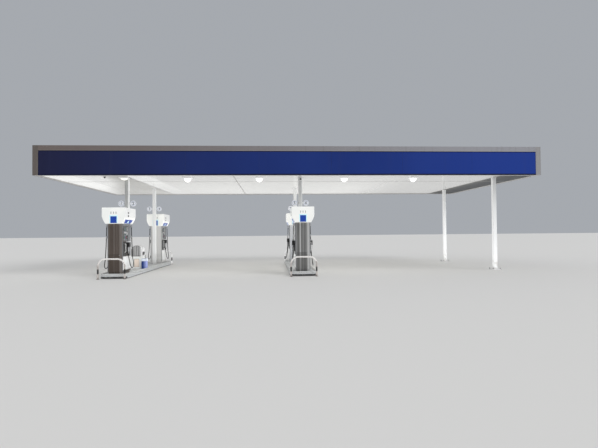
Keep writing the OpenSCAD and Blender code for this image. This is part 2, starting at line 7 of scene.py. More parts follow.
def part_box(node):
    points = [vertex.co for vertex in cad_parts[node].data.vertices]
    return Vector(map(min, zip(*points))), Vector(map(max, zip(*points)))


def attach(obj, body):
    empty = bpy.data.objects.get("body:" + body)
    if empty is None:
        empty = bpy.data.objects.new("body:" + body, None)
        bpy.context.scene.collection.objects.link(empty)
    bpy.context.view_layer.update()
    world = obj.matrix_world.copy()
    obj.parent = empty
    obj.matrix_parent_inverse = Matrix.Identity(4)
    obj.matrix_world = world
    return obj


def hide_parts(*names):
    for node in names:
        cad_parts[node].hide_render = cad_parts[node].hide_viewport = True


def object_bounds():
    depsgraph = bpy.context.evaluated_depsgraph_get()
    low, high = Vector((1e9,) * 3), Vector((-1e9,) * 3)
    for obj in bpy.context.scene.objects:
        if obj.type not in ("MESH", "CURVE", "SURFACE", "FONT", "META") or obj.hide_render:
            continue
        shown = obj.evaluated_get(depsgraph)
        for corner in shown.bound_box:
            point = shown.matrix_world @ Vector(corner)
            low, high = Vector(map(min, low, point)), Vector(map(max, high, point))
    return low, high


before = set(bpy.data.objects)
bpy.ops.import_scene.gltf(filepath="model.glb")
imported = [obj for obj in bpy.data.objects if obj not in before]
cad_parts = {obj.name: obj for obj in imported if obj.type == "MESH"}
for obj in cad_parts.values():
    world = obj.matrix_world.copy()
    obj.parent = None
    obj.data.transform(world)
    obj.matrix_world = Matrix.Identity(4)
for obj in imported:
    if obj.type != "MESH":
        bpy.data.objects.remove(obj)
cad_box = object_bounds()

# Camera, floor and light
# The camera stands well in front of the fascia at eye height, turned a little to the right. The floor is one
# pale sheet. A wide soft sun and a pale sky light the outside, and a soft light lies under the deck.


def place(name, data):
    """A new object in the scene."""
    thing = bpy.data.objects.new(name, data)
    bpy.context.scene.collection.objects.link(thing)
    return thing


fascia_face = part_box("coping")[0].y
stand_off, eye_height = 16.8, 1.62
camera_data = bpy.data.cameras.new("camera")
camera_data.sensor_width = 36
camera_data.lens = 26.49
camera = place("camera", camera_data)
camera.location = (-0.92, fascia_face - stand_off, eye_height)
camera.rotation_euler = [math.radians(a) for a in (91.08, 0.49, -3.51)]
bpy.context.scene.camera = camera
bpy.context.scene.view_settings.view_transform = "Standard"

bpy.ops.mesh.primitive_plane_add(size=400, location=(0, 0, -0.002))
floor = bpy.context.object
floor.name = "floor"
floor_paint = bpy.data.materials.new("floor_paint")
floor_paint.use_nodes = True
floor_shader = floor_paint.node_tree.nodes["Principled BSDF"]
floor_shader.inputs["Base Color"].default_value = (0.64, 0.635, 0.62, 1)
floor_shader.inputs["Roughness"].default_value = 0.9
floor.data.materials.append(floor_paint)

# The camera and reflections see a darker backdrop than the sky that lights the piece
studio = bpy.data.worlds.new("studio")
bpy.context.scene.world = studio
studio.use_nodes = True
tree = studio.node_tree
sky = tree.nodes["Background"]
sky.inputs["Color"].default_value = (0.92, 0.93, 0.95, 1)
sky.inputs["Strength"].default_value = 0.86
backdrop = tree.nodes.new("ShaderNodeBackground")
backdrop.inputs["Color"].default_value = (0.38, 0.40, 0.43, 1)
seen = tree.nodes.new("ShaderNodeLightPath")
either = tree.nodes.new("ShaderNodeMath")
either.operation = "MAXIMUM"
pick = tree.nodes.new("ShaderNodeMixShader")
for source, target in ((seen.outputs["Is Camera Ray"], either.inputs[0]),
                       (seen.outputs["Is Glossy Ray"], either.inputs[1]),
                       (either.outputs[0], pick.inputs[0]),
                       (sky.outputs[0], pick.inputs[1]),
                       (backdrop.outputs[0], pick.inputs[2]),
                       (pick.outputs[0], tree.nodes["World Output"].inputs["Surface"])):
    tree.links.new(source, target)

key_data = bpy.data.lights.new("key", "SUN")
key_data.energy = 1.1
key_data.angle = math.radians(35)
key = place("key", key_data)
key.rotation_euler = [math.radians(a) for a in (52, 0, 50)]
under_data = bpy.data.lights.new("under", "AREA")
under_data.shape = "RECTANGLE"
under_data.size = 22
under_data.size_y = 10
under_data.energy = 810
under = place("under", under_data)
under.location = (0, (cad_box[0].y + cad_box[1].y) / 2, 0.01)
under.rotation_euler = (math.pi, 0, 0)
under.visible_camera = False
under.visible_glossy = False

# Fuel hoses and nozzles
# Each dispenser has a rubber hose a side. It leaves a swivel under the lit head, hangs in a loop and comes
# up to a nozzle that stands in its boot: cast grip, moulded guard, trigger and a steel spout.


class Tone:
    """A socket in a finish's nodes, so that a finish is written as plain arithmetic."""

    def __init__(self, tree, socket):
        self.tree = tree
        self.socket = socket

    def node(self, kind, settings, values, output=0):
        made = self.tree.nodes.new("ShaderNode" + kind)
        for name, value in settings.items():
            setattr(made, name, value)
        for name, value in values.items():
            if isinstance(value, Tone):
                self.tree.links.new(value.socket, made.inputs[name])
            else:
                made.inputs[name].default_value = value
        return Tone(self.tree, made.outputs[output])

    def math(self, operation, a, b=0.0):
        return self.node("Math", {"operation": operation}, {0: a, 1: b})

    def __add__(self, other):
        return self.math("ADD", self, other)

    def __sub__(self, other):
        return self.math("SUBTRACT", self, other)

    def __mul__(self, other):
        return self.math("MULTIPLY", self, other)

    def __rsub__(self, other):
        return self.math("SUBTRACT", other, self)

    def __mod__(self, other):
        return self.math("FLOORED_MODULO", self, other)

    def __abs__(self):
        return self.math("ABSOLUTE", self)

    __radd__ = __add__
    __rmul__ = __mul__

    def either(self, other):
        return self.math("MAXIMUM", self, other)

    def axis(self, index):
        return self.node("SeparateXYZ", {}, {0: self}, index)

    def noise(self, scale, detail=2.0, stretch=(1, 1, 1)):
        spread = self.node("Mapping", {}, {"Vector": self, "Scale": stretch})
        return self.node("TexNoise", {}, {"Vector": spread, "Scale": scale, "Detail": detail})

    def span(self, low, high, to_low=0.0, to_high=1.0):
        values = {0: self, 1: low, 2: high, 3: to_low, 4: to_high}
        return self.node("MapRange", {"interpolation_type": "SMOOTHSTEP"}, values)

    def blend(self, none, full):
        return self.node("Mix", {"data_type": "RGBA"}, {0: self, 6: none, 7: full}, 2)

    def bump(self, strength, distance):
        return self.node("Bump", {}, {"Strength": strength, "Distance": distance, "Height": self})


def coat(name, **fixed):
    """A new finish, and the point on the piece that its patterns start from."""
    finish = bpy.data.materials.new(name)
    finish.use_nodes = True
    tree = finish.node_tree
    for socket, value in fixed.items():
        tree.nodes["Principled BSDF"].inputs[socket.replace("_", " ")].default_value = value
    return finish, Tone(tree, tree.nodes.new("ShaderNodeTexCoord").outputs["Object"])


def lay(finish, **tones):
    """Links what changes over the surface to the shader's sockets."""
    shader = finish.node_tree.nodes["Principled BSDF"]
    for socket, tone in tones.items():
        tone.tree.links.new(tone.socket, shader.inputs[socket.replace("_", " ")])


def grey(value, tint=(1.0, 1.0, 1.0)):
    return (value * tint[0], value * tint[1], value * tint[2], 1)


def scuffed(name, grain, edges, clean, rubbed, rough, pits=None, **fixed):
    """A finish rubbed to another tone in patches, rougher there, with fine pits: grain, strength, depth."""
    finish, point = coat(name, **fixed)
    scuff = point.noise(*grain).span(*edges)
    lay(finish, Base_Color=scuff.blend(clean, rubbed), Roughness=rough[0] + rough[1] * scuff)
    if pits:
        lay(finish, Normal=point.noise(*pits[0]).bump(*pits[1:]))
    return finish


def start():
    """Only what is added next is to be selected."""
    if bpy.context.object and bpy.context.object.mode != "OBJECT":
        bpy.ops.object.mode_set(mode="OBJECT")
    bpy.ops.object.select_all(action="DESELECT")


def trim_edges(piece, width, segments=2, angle=30):
    edge = piece.modifiers.new("edge", "BEVEL")
    edge.width = width
    edge.segments = segments
    edge.limit_method = "ANGLE"
    edge.angle_limit = math.radians(angle)
    bpy.context.view_layer.objects.active = piece
    bpy.ops.object.modifier_apply(modifier="edge")


def block(low, high, finish, edge=0.0, segments=2):
    """A cast or folded block between two corners, with its edges eased."""
    start()
    low, high = Vector(low), Vector(high)
    bpy.ops.mesh.primitive_cube_add(size=1, location=(low + high) / 2)
    piece = bpy.context.object
    piece.scale = high - low
    bpy.ops.object.transform_apply()
    if edge:
        trim_edges(piece, edge, segments)
    piece.data.materials.append(finish)
    return piece


def rod(foot, head, radius, finish, top=None, sides=24, edge=0.0):
    """A turned rod from foot to head, tapered where top gives another radius there."""
    start()
    foot, head = Vector(foot), Vector(head)
    bpy.ops.mesh.primitive_cone_add(
        vertices=sides, radius1=radius, radius2=radius if top is None else top, depth=(head - foot).length,
        location=(foot + head) / 2, rotation=(head - foot).to_track_quat("Z", "Y").to_euler())
    bpy.ops.object.transform_apply()
    piece = bpy.context.object
    if edge:
        trim_edges(piece, edge)
    piece.data.materials.append(finish)
    return piece


def turnings(x, y, rows):
    """Rods on one upright line, each by its finish, foot, head, two radii, edge and sides."""
    return [rod((x, y, foot), (x, y, head), radius, finish, top, sides, edge)
            for finish, foot, head, radius, top, edge, sides in rows]


def wire(name, points, radius, finish, sides=6):
    """A round curve along a line of points."""
    line = bpy.data.curves.new(name, "CURVE")
    line.dimensions = "3D"
    line.bevel_depth = radius
    line.bevel_resolution = sides
    line.use_fill_caps = True
    spline = line.splines.new("POLY")
    spline.points.add(len(points) - 1)
    for mark, point in zip(spline.points, points):
        mark.co = (*point, 1)
    line.materials.append(finish)
    return place(name, line)


def tube(points, radius, finish, sides=6):
    """A bent tube along a line of points, as a mesh."""
    start()
    piece = wire("tube", points, radius, finish, sides)
    piece.select_set(True)
    bpy.context.view_layer.objects.active = piece
    bpy.ops.object.convert(target="MESH")
    return bpy.context.object


def join(name, parts):
    """One piece from its parts, each part keeping its finish."""
    start()
    for part in parts:
        part.select_set(True)
    bpy.context.view_layer.objects.active = parts[0]
    if len(parts) > 1:
        bpy.ops.object.join()
    piece = bpy.context.object
    piece.name = name
    bpy.ops.object.shade_smooth_by_angle(angle=math.radians(40))
    even = piece.modifiers.new("even", "WEIGHTED_NORMAL")
    even.keep_sharp = True
    bpy.ops.object.modifier_apply(modifier="even")
    return piece


def mount(piece, slot, *nodes):
    """The piece rides with the frame and stands for these nodes. Its slot is not used."""
    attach(piece, "root")
    if nodes:
        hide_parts(*nodes)
    return piece


def stance(where, turn):
    """A turn about the upright axis and a move into place."""
    return Matrix.Translation(where) @ Matrix.Rotation(math.radians(turn), 4, "Z")


def copy(model, name, where, turn=0):
    """A copy with its own mesh, turned and moved into place."""
    mesh = model.data.copy()
    mesh.transform(stance(where, turn))
    return place(name, mesh)


def centre(node):
    low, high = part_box(node)
    return (low + high) / 2


def smooth_route(points, steps=6):
    """Points close together on the smooth curve through a route."""
    line = [Vector(p) for p in points]
    line = [2 * line[0] - line[1], *line, 2 * line[-1] - line[-2]]
    route = []
    for i in range(1, len(line) - 2):
        a, b, c, d = line[i - 1:i + 3]
        for k in range(steps):
            t = k / steps
            route.append(0.5 * (2 * b + (c - a) * t + (2 * a - 5 * b + 4 * c - d) * t ** 2
                                + (3 * b - a - 3 * c + d) * t ** 3))
    return [*route, line[-2]]


rubber = scuffed("hose_rubber", (60, 3), (0.5, 0.78), grey(0.013), grey(0.06, (1, 0.97, 0.93)), (0.34, 0.3),
                 ((400,), 0.2, 0.0006), Specular_IOR_Level=0.4)
guard_plastic = scuffed("guard_plastic", (90, 3), (0.55, 0.75), grey(0.02), grey(0.10), (0.45, 0.25),
                        ((700,), 0.15, 0.0004))
grip_pale = scuffed("grip_pale", (60, 4), (0.5, 0.72), grey(0.66, (0.98, 1, 1.02)),
                    grey(0.28, (1, 0.97, 0.93)), (0.35, 0.3), ((500,), 0.12, 0.0004))
cast_metal, point = coat("cast_metal", Metallic=1.0)
worn = point.noise(120, 4)
lay(cast_metal, Base_Color=worn.blend(grey(0.45), grey(0.72)), Roughness=worn.span(0.3, 0.8, 0.25, 0.5),
    Normal=point.noise(900).bump(0.12, 0.0003))

stands = {name: centre("cabinet_" + name) for name in ("left_front", "left_back", "mid_front", "mid_back")}
island_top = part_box("island_left")[1].z
cabinet_half = 0.275
grip_out, swivel_out, swivel_y = cabinet_half + 0.063, cabinet_half + 0.070, 0.33
grip_low, boot_low = 0.78, 1.0
hose_d = 0.030
hose_route = [
    (0.070, 0.330, 1.760), (0.070, 0.330, 1.700), (0.073, 0.330, 1.560), (0.080, 0.330, 1.300),
    (0.090, 0.330, 1.020), (0.103, 0.330, 0.760), (0.118, 0.330, 0.540), (0.134, 0.330, 0.440),
    (0.143, 0.330, 0.360), (0.150, 0.308, 0.278), (0.154, 0.248, 0.217), (0.152, 0.165, 0.195),
    (0.145, 0.083, 0.217), (0.133, 0.022, 0.278), (0.117, 0.000, 0.360), (0.102, 0.000, 0.440),
    (0.086, 0.000, 0.530), (0.072, 0.000, 0.630), (0.065, 0.000, 0.720), (0.063, 0.000, 0.780),
    (0.063, 0.000, 0.890), (0.063, 0.000, 0.998)]

# The nozzle is modelled once, standing at the cabinet's right side
guard = [(0.012, 0.988), (0.045, 0.97), (0.056, 0.93), (0.056, 0.87), (0.045, 0.835), (0.012, 0.825)]
trigger = [(0.02, 0.97), (0.034, 0.93), (0.038, 0.88), (0.03, 0.84)]
spout = [(0, 1.0), (0, 1.05), (-0.004, 1.09), (-0.012, 1.13)]
nozzle_parts = turnings(grip_out, 0, (
    (cast_metal, grip_low, 0.815, 0.019, 0.019, 0.003, 24),
    (grip_pale, 0.815, 0.91, 0.017, 0.021, 0.003, 24),
    (grip_pale, 0.91, 0.98, 0.023, 0.023, 0.006, 24),
    (cast_metal, 0.98, boot_low + 0.002, 0.023, 0.015, 0.003, 24),
    (rubber, boot_low - 0.003, boot_low + 0.004, 0.040, 0.036, 0.002, 24)))
for line, radius, finish in ((guard, 0.0055, grip_pale), (trigger, 0.005, cast_metal),
                             (spout, 0.011, cast_metal)):
    nozzle_parts.append(tube(smooth_route([(grip_out + out, 0, up) for out, up in line]), radius, finish))
nozzle_parts.append(block((grip_out - 0.02, -0.018, 0.90), (grip_out + 0.024, 0.018, 0.97), grip_pale,
                          0.008, 3))
nozzle_model = join("nozzle_model", nozzle_parts)

# Ferrules and the swivel at the head of the hose belong to the hose's ends
ferrule_model = join("ferrule_model", [
    *turnings(swivel_out, swivel_y, (
        (cast_metal, 1.76, 1.72, 0.0195, 0.0195, 0.003, 24),
        (rubber, 1.722, 1.69, 0.018, 0.0162, 0.002, 24),
        (cast_metal, 1.40, 1.31, 0.021, 0.021, 0.003, 12))),
    *turnings(grip_out, 0, (
        (cast_metal, grip_low, 0.74, 0.0185, 0.0185, 0.003, 24),
        (rubber, 0.74, 0.68, 0.0175, 0.0160, 0.002, 24)))])

for name, stand in stands.items():
    island = name.split("_")[0]
    where = Vector((stand.x, stand.y, island_top))
    for side, turn in (("right", 0), ("left", 180)):
        nozzle = mount(copy(nozzle_model, f"nozzle_{name}_{side}", where, turn),
                       "nozzle_black", "nozzles_" + island)
        ends = mount(copy(ferrule_model, f"hose_ends_{name}_{side}", where, turn), "nozzle_black")
        route = [stance(where, turn) @ (Vector((cabinet_half, 0, 0)) + p) for p in smooth_route(hose_route)]
        hose = wire(f"hose_{name}_{side}", route, hose_d / 2, rubber, 5)
        mount(hose, "hose_black", "hoses_" + island)
        length = sum((b - a).length for a, b in zip(route, route[1:]))
for model in (nozzle_model, ferrule_model):
    bpy.data.objects.remove(model)

# Pump islands
# Each island is a long concrete kerb cast in a steel form with round corners. The form's rim is painted a
# pale blue grey and worn. The lower part of its ends and a line along its foot are painted near-black as
# painted shade, its upper edge is painted lighter as a painted highlight, and the concrete inside is
# trowelled and stained by fuel.


def choose(piece, kind, test):
    """Into edit mode, with only the edges or faces that pass a test selected."""
    bpy.ops.object.mode_set(mode="EDIT")
    bpy.ops.mesh.select_mode(type=kind)
    bpy.ops.mesh.select_all(action="DESELECT")
    bpy.ops.object.mode_set(mode="OBJECT")
    for part in piece.data.edges if kind == "EDGE" else piece.data.polygons:
        part.select = test(part)
    bpy.ops.object.mode_set(mode="EDIT")


def round_uprights(piece, radius, segments):
    """Rounds a block's upright edges."""
    def is_upright(edge):
        a, b = (piece.data.vertices[v].co for v in edge.vertices)
        return abs(a.z - b.z) > 0.1

    choose(piece, "EDGE", is_upright)
    bpy.ops.mesh.bevel(offset=radius, segments=segments, affect="EDGES")
    bpy.ops.object.mode_set(mode="OBJECT")


island_low, island_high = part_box("island_left")
concrete, point = coat("island_concrete")
stain = point.noise(1.6, 4).span(0.45, 0.72)
grain = point.noise(55, 5)
trowel = point.noise(5, 3, (1, 0.3, 1)).span(0.35, 0.7)
pale = trowel.blend(grey(0.86, (1, 0.985, 0.95)), grey(0.74, (1, 0.98, 0.94)))
lay(concrete, Base_Color=stain.blend(pale, grey(0.52, (1, 0.97, 0.92))),
    Roughness=0.78 + 0.15 * grain, Normal=grain.bump(0.35, 0.004))
rim_paint, point = coat("rim_paint")
height = point.axis(2)
chip = point.noise(22, 6).span(0.60, 0.66)
scrape = point.noise(7, 5, (1, 0.15, 6)).span(0.62, 0.72) * (1 - height.span(0.09, 0.13))
# Painted shade: a near-black line along the foot, where the kerb meets the ground.
foot = 1 - height.span(0.008, 0.034)
nose = 1 - point.axis(1).span(island_low.y + 0.10, island_low.y + 0.20)
tail = point.axis(1).span(island_high.y - 0.20, island_high.y - 0.10)
# Painted shade: the lower part of both ends is painted near-black.
black = (nose + tail) * (1 - height.span(0.070, 0.080))
# Painted highlight: the upper edge of the rim is painted lighter.
paint = height.span(0.10, 0.125).blend(grey(0.40, (0.96, 1.0, 1.03)), grey(0.50, (0.98, 1, 0.99)))
paint = black.span(0.4, 0.6).blend(paint, grey(0.025))
worn = chip.either(scrape)
lay(rim_paint, Base_Color=foot.blend(worn.blend(paint, grey(0.25, (1, 0.95, 0.88))), grey(0.04)),
    Roughness=0.42 + 0.35 * worn, Normal=(1 - worn).bump(0.25, 0.002))
rim_w, rim_step, corner_r, joint_half = 0.055, 0.004, 0.24, 0.006
for name in ("island_left", "island_mid"):
    low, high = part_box(name)
    kerb = block(low, high, rim_paint)
    kerb.data.materials.append(concrete)
    round_uprights(kerb, corner_r, 12)
    choose(kerb, "FACE", lambda face: face.normal.z > 0.9)
    bpy.ops.mesh.bevel(offset=0.012, segments=3, affect="EDGES")
    bpy.ops.mesh.inset(thickness=rim_w)
    bpy.ops.mesh.extrude_region_move(TRANSFORM_OT_translate={"value": (0, 0, -rim_step)})
    kerb.active_material_index = 1
    bpy.ops.object.material_slot_assign()
    bpy.ops.object.mode_set(mode="OBJECT")
    parts = [kerb]
    for third in (1, 2):
        y = low.y + third * (high.y - low.y) / 3
        parts.append(block((low.x + rim_w, y - joint_half, high.z - 0.006),
                           (high.x - rim_w, y + joint_half, high.z - 0.002), rubber, 0.002))
    mount(join(name + "_kerb", parts), "island_concrete", name)

# Columns
# Six slim square steel tubes with rounded corners, painted white, with a plate on each head under the beams.
# The white is painted darker on the left and front columns and lighter on each right face, as painted light.
# The right row stands on base plates with four anchor bolts, and the rest come up through the islands.


def pad(x, y, half, low, high, finish, edge=0.0, segments=2):
    """A square block about an upright line, between two heights."""
    return block((x - half, y - half, low), (x + half, y + half, high), finish, edge, segments)


row_x = [centre("column_" + row + "_front").x for row in ("left", "mid", "right")]
column_paint, point = coat("column_paint")
across, depth, height = point.axis(0), point.axis(1), point.axis(2)
streak = point.noise(14, 3, (1, 1, 0.08)).span(0.5, 0.8)
grime = height.span(0.1, 1.1, 0.5, 0.0) * point.noise(6, 4).span(0.3, 0.7)
dirt = (streak * 0.25 + grime).span(0, 1)
# Painted shade: the columns are painted darker towards the left and the front.
bright = (across + 0.5 * point.noise(1.2, 2)).span(-4.0, 7.0).either(0.9 * depth.span(-1.0, 1.0))
paint = bright.blend(grey(0.44, (0.98, 1, 1.0)), grey(0.84, (0.99, 1, 1)))
# Painted highlight: each column's right face is painted lighter.
for x in row_x:
    right_face = across.span(x + 0.040, x + 0.056) * (1 - across.span(x + 0.152, x + 0.172))
    paint = right_face.blend(paint, grey(0.86, (0.99, 1, 1)))
lay(column_paint, Base_Color=dirt.blend(paint, grey(0.38, (1, 0.93, 0.82))),
    Roughness=0.30 + 0.3 * dirt, Normal=point.noise(120, 3).bump(0.08, 0.001))
grout, point = coat("grout", Roughness=0.9)
lay(grout, Base_Color=point.noise(30, 4).blend(grey(0.30), grey(0.45)),
    Normal=point.noise(90, 4).bump(0.4, 0.003))
zinc, point = coat("zinc", Metallic=1.0)
spangle = point.noise(70, 2)
lay(zinc, Base_Color=spangle.blend(grey(0.42), grey(0.62)), Roughness=spangle.span(0.3, 0.7, 0.35, 0.6))
deck_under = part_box("deck_mid")[0].z
column_half, head_half, head_t, base_half, base_t, bolt_out = 0.076, 0.125, 0.020, 0.2, 0.025, 0.15
corners = ((-1, -1), (-1, 1), (1, -1), (1, 1))
anchor = ((zinc, 0.002, 0.085, 0.0125, 0.0125, 0.001, 16),
          (zinc, base_t, 0.029, 0.026, 0.026, 0.001, 24),
          (zinc, 0.029, 0.054, 0.0225, 0.0225, 0.002, 6))
for name in ("left_front", "left_back", "mid_front", "mid_back", "right_front", "right_back"):
    x, y = centre("column_" + name).xy
    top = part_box("column_" + name)[1].z
    shaft = pad(x, y, column_half, 0, top - head_t, column_paint)
    round_uprights(shaft, 0.016, 5)
    parts = [shaft,
             pad(x, y, head_half, top - head_t, top, column_paint, 0.003),
             pad(x, y, column_half + 0.012, deck_under - 0.006, deck_under, column_paint, 0.002)]
    if name.startswith("right"):
        parts.append(pad(x, y, base_half, 0, base_t, column_paint, 0.003))
        for sx, sy in corners:
            parts += turnings(x + sx * bolt_out, y + sy * bolt_out, anchor)
        for sx, sy in ((1, 0), (-1, 0), (0, 1), (0, -1)):
            weld = Vector((x + sx * column_half, y + sy * column_half, base_t + 0.001))
            reach = Vector((abs(sy), abs(sx), 0)) * (column_half - 0.012)
            parts.append(rod(weld - reach, weld + reach, 0.007, column_paint, sides=10))
    else:
        parts.append(pad(x, y, 0.12, island_top - 0.01, island_top + 0.008, grout, 0.006))
    mount(join("post_" + name, parts), "column_white", "column_" + name)

# Deck
# White roll-formed pans run the length of the canopy, face down. Cover strips hide their end laps, and one
# joint along the lights, painted mid grey as painted shadow lines. The gloss coat is dusty and speckled by
# leaks on the left, where it also darkens towards the first lap as painted shade. Past that lap a strip is
# painted brighter as a painted highlight; further right the deck is painted darker at the front and in a band
# right of the middle as painted shade, and dark grey beyond the last lap as painted shadow.


def plain(name, grain, dark, pale, rough=None, glow=None, **fixed):
    """A finish of two close tones in noise, an uneven roughness and, where it is lit, a glow of two tones."""
    finish, point = coat(name, **fixed)
    lay(finish, Base_Color=point.noise(*grain).blend(dark, pale))
    if rough:
        lay(finish, Roughness=rough[0] + rough[1] * point.noise(rough[2]))
    if glow:
        lay(finish, Emission_Color=point.noise(*glow[0]).blend(*glow[1:]))
    return finish


def dress(slot, finish, *names):
    """Nodes of the frame that show as they are, in a finish of their own."""
    for name in names:
        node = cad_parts[name]
        node.data.materials.clear()
        node.data.materials.append(finish)


def stud(foot, reach, radius, finish, **more):
    """A rod by its foot and how far it goes on each axis."""
    return rod(foot, Vector(foot) + Vector(reach), radius, finish, **more)


laps = (row_x[0] + 0.165, row_x[0] + 4.25, row_x[2] - 0.12)
pan_w = 0.4064
deck_coat, point = coat("deck_coat", Coat_Roughness=0.08)
across = point.axis(0)
depth = point.axis(1).span(fascia_face + 0.5, fascia_face + 8.6)
pan_edge = abs((point.axis(1) - fascia_face) % pan_w - pan_w / 2).span(pan_w / 2 - 0.007, pan_w / 2 - 0.003)
dust = point.noise(0.9, 5, (0.5, 1, 1)).span(0.45, 0.8)
leak = point.noise(3.0, 4, (0.6, 2.5, 1)).span(0.62, 0.78)
speckle = point.noise(11, 4, (0.5, 1, 1)).span(0.52, 0.66)
# Painted shade and dirt: the left bay darkens towards the first lap, and leaks speckle it.
left_bay = (across + depth * 2.0).span(laps[0] - 1.65, laps[0] - 0.35)
left_bay = left_bay * (1 - across.span(laps[0] - 0.004, laps[0] + 0.004))
right_bay = across.span(laps[2] - 0.004, laps[2] + 0.004)
left_dirt_and_shade = left_bay * (1.0 + 0.30 * speckle) * (1 - 0.3 * depth)
soil_and_shade = (dust * 0.12 + leak * 0.14 + left_dirt_and_shade).span(0, 1.2)
# Painted shade: darker towards the front, and darker still in a band right of the middle.
further_right = depth.blend(grey(0.64, (1, 0.995, 0.965)), grey(0.96, (1, 0.995, 0.97)))
further_right = (across.span(2.5, 6.0) * 0.85).blend(further_right, grey(0.42, (1, 0.995, 0.97)))
# Painted highlight: a strip just past the first lap is painted brighter.
fresh = across.span(laps[0] + 0.75, laps[0] + 1.0).blend(grey(0.97, (1, 1, 0.985)), further_right)
clean = soil_and_shade.blend(fresh, grey(0.38, (1, 0.99, 0.96)))
# Painted shadow: the right bay beyond the last lap is painted dark grey, darker towards its end.
right_bay_shadow = speckle.blend(grey(0.12, (1, 0.99, 0.96)), grey(0.14))
right_bay_shadow = across.span(8.0, 9.0).blend(right_bay_shadow, grey(0.07, (0.95, 1, 1.05)))
bays = (pan_edge * 0.5).blend(right_bay.blend(clean, right_bay_shadow), grey(0.12))
top = point.axis(2).span(deck_under + 0.004, deck_under + 0.006)
left_end = 1 - across.span(laps[0] - 2.4, laps[0] - 1.4)
matt = right_bay.either(left_end * 0.5).either(top * 0.5)
lay(deck_coat, Base_Color=top.blend(bays, point.noise(30).blend(grey(0.36), grey(0.44))),
    Roughness=(0.12 + 0.6 * soil_and_shade).either(matt * 0.9), Normal=(1 - pan_edge).bump(0.3, 0.003),
    Coat_Weight=0.4 * (1 - soil_and_shade) * (1 - matt))
dress("deck_white", deck_coat, "deck_left", "deck_mid", "deck_right")
# Painted shade: the cover strips, and the drip edge's underside, are painted mid grey as shadow lines on the
# white deck.
strip_shade_grey = plain("strip_shade_grey", (6, 3), grey(0.32, (1, 0.98, 0.95)), grey(0.40, (1, 0.98, 0.96)),
                   (0.35, 0.2, 30))
deck_low, deck_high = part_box("deck_left")[0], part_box("deck_right")[1]
strip_t, strip_in, strip_gap = 0.004, 0.12, 0.024
strip_z = deck_under - strip_t
parts = []
for x in laps:
    parts.append(block((x - 0.022, deck_low.y + strip_in, strip_z),
                       (x + 0.022, deck_high.y - strip_in, deck_under), strip_shade_grey, 0.0015))
    for i in range(18):
        parts.append(stud((x, deck_low.y + 0.3 + i * 0.47, strip_z), (0, 0, -0.002), 0.006, strip_shade_grey,
                          top=0.004, sides=8))
joint_y = fascia_face + 2.33
stops = (deck_low.x + strip_in - strip_gap, *laps, deck_high.x - strip_in + strip_gap)
for a, b in zip(stops, stops[1:]):
    parts.append(block((a + strip_gap, joint_y - 0.018, strip_z),
                       (b - strip_gap, joint_y + 0.018, deck_under), strip_shade_grey, 0.0015))
mount(join("deck_strips", parts), "deck_white")

# Canopy lights
# Five lights hang under the deck: a square cast housing with four clips, painted like the deck, a ribbed
# bowl of pressed glass that glows, and a finned box above the deck. The housing and box are given a faint
# painted glow, as if lit by the bowl. The first is shallow and yellowed.


def half_ball(segments, rings, radius, middle=(0, 0, 0), cut=0.0):
    """The lower half of a ball, closed at a cut a little above its middle."""
    start()
    bpy.ops.mesh.primitive_uv_sphere_add(segments=segments, ring_count=rings, radius=radius, location=middle)
    bpy.ops.object.transform_apply()
    bpy.ops.object.mode_set(mode="EDIT")
    bpy.ops.mesh.select_all(action="SELECT")
    bpy.ops.mesh.bisect(plane_co=Vector(middle) + Vector((0, 0, cut)), plane_no=(0, 0, 1), clear_outer=True,
                        use_fill=True)
    bpy.ops.object.mode_set(mode="OBJECT")
    return bpy.context.object


# The housing's faint glow is painted light, as if lit by its own bowl.
housing_glow_white = plain("housing_glow_white", (40, 3), grey(0.84), grey(0.90), (0.25, 0.2, 20), ((9,), grey(0.9), grey(1)),
                  Emission_Strength=0.06)
light_half, housing_h, bowl_r, bowl_h, collar = 0.165, 0.05, 0.136, 0.15, 0.02
housing_low = deck_under - housing_h
lens, point = coat("lens", Roughness=0.18, Base_Color=grey(0.55), Emission_Strength=1.0)
prism = point.node("TexVoronoi", {}, {"Vector": point, "Scale": 42.0})
hot = 1 - point.axis(2).span(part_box("canopy_lights")[0].z + 0.02, housing_low)
further_right = point.axis(0).span(row_x[0] + 0.5, row_x[0] + 1.5)
fresh_lamp = (hot * 0.6 + prism.span(0.0, 0.6) * 0.3).blend((0.94, 0.94, 0.90, 1), (1, 1, 0.97, 1))
lay(lens, Emission_Color=further_right.blend((0.72, 0.71, 0.60, 1), fresh_lamp), Normal=prism.bump(0.4, 0.003))
bowl_model = half_ball(96, 24, 1)
for vertex in bowl_model.data.vertices:
    turn = math.atan2(vertex.co.y, vertex.co.x)
    out = math.hypot(vertex.co.x, vertex.co.y)
    flute = 1 + 0.018 * math.cos(48 * turn) * min(1, 3 * out) * (1 if out < 0.97 else 0)
    vertex.co = (vertex.co.x * bowl_r * flute, vertex.co.y * bowl_r * flute, vertex.co.z * bowl_h)
bowl_model.data.materials.append(lens)
y, z = centre("canopy_lights").y, deck_under
inner = light_half - collar
light_steps = (2.45, 2.82, 3.42, 2.83)
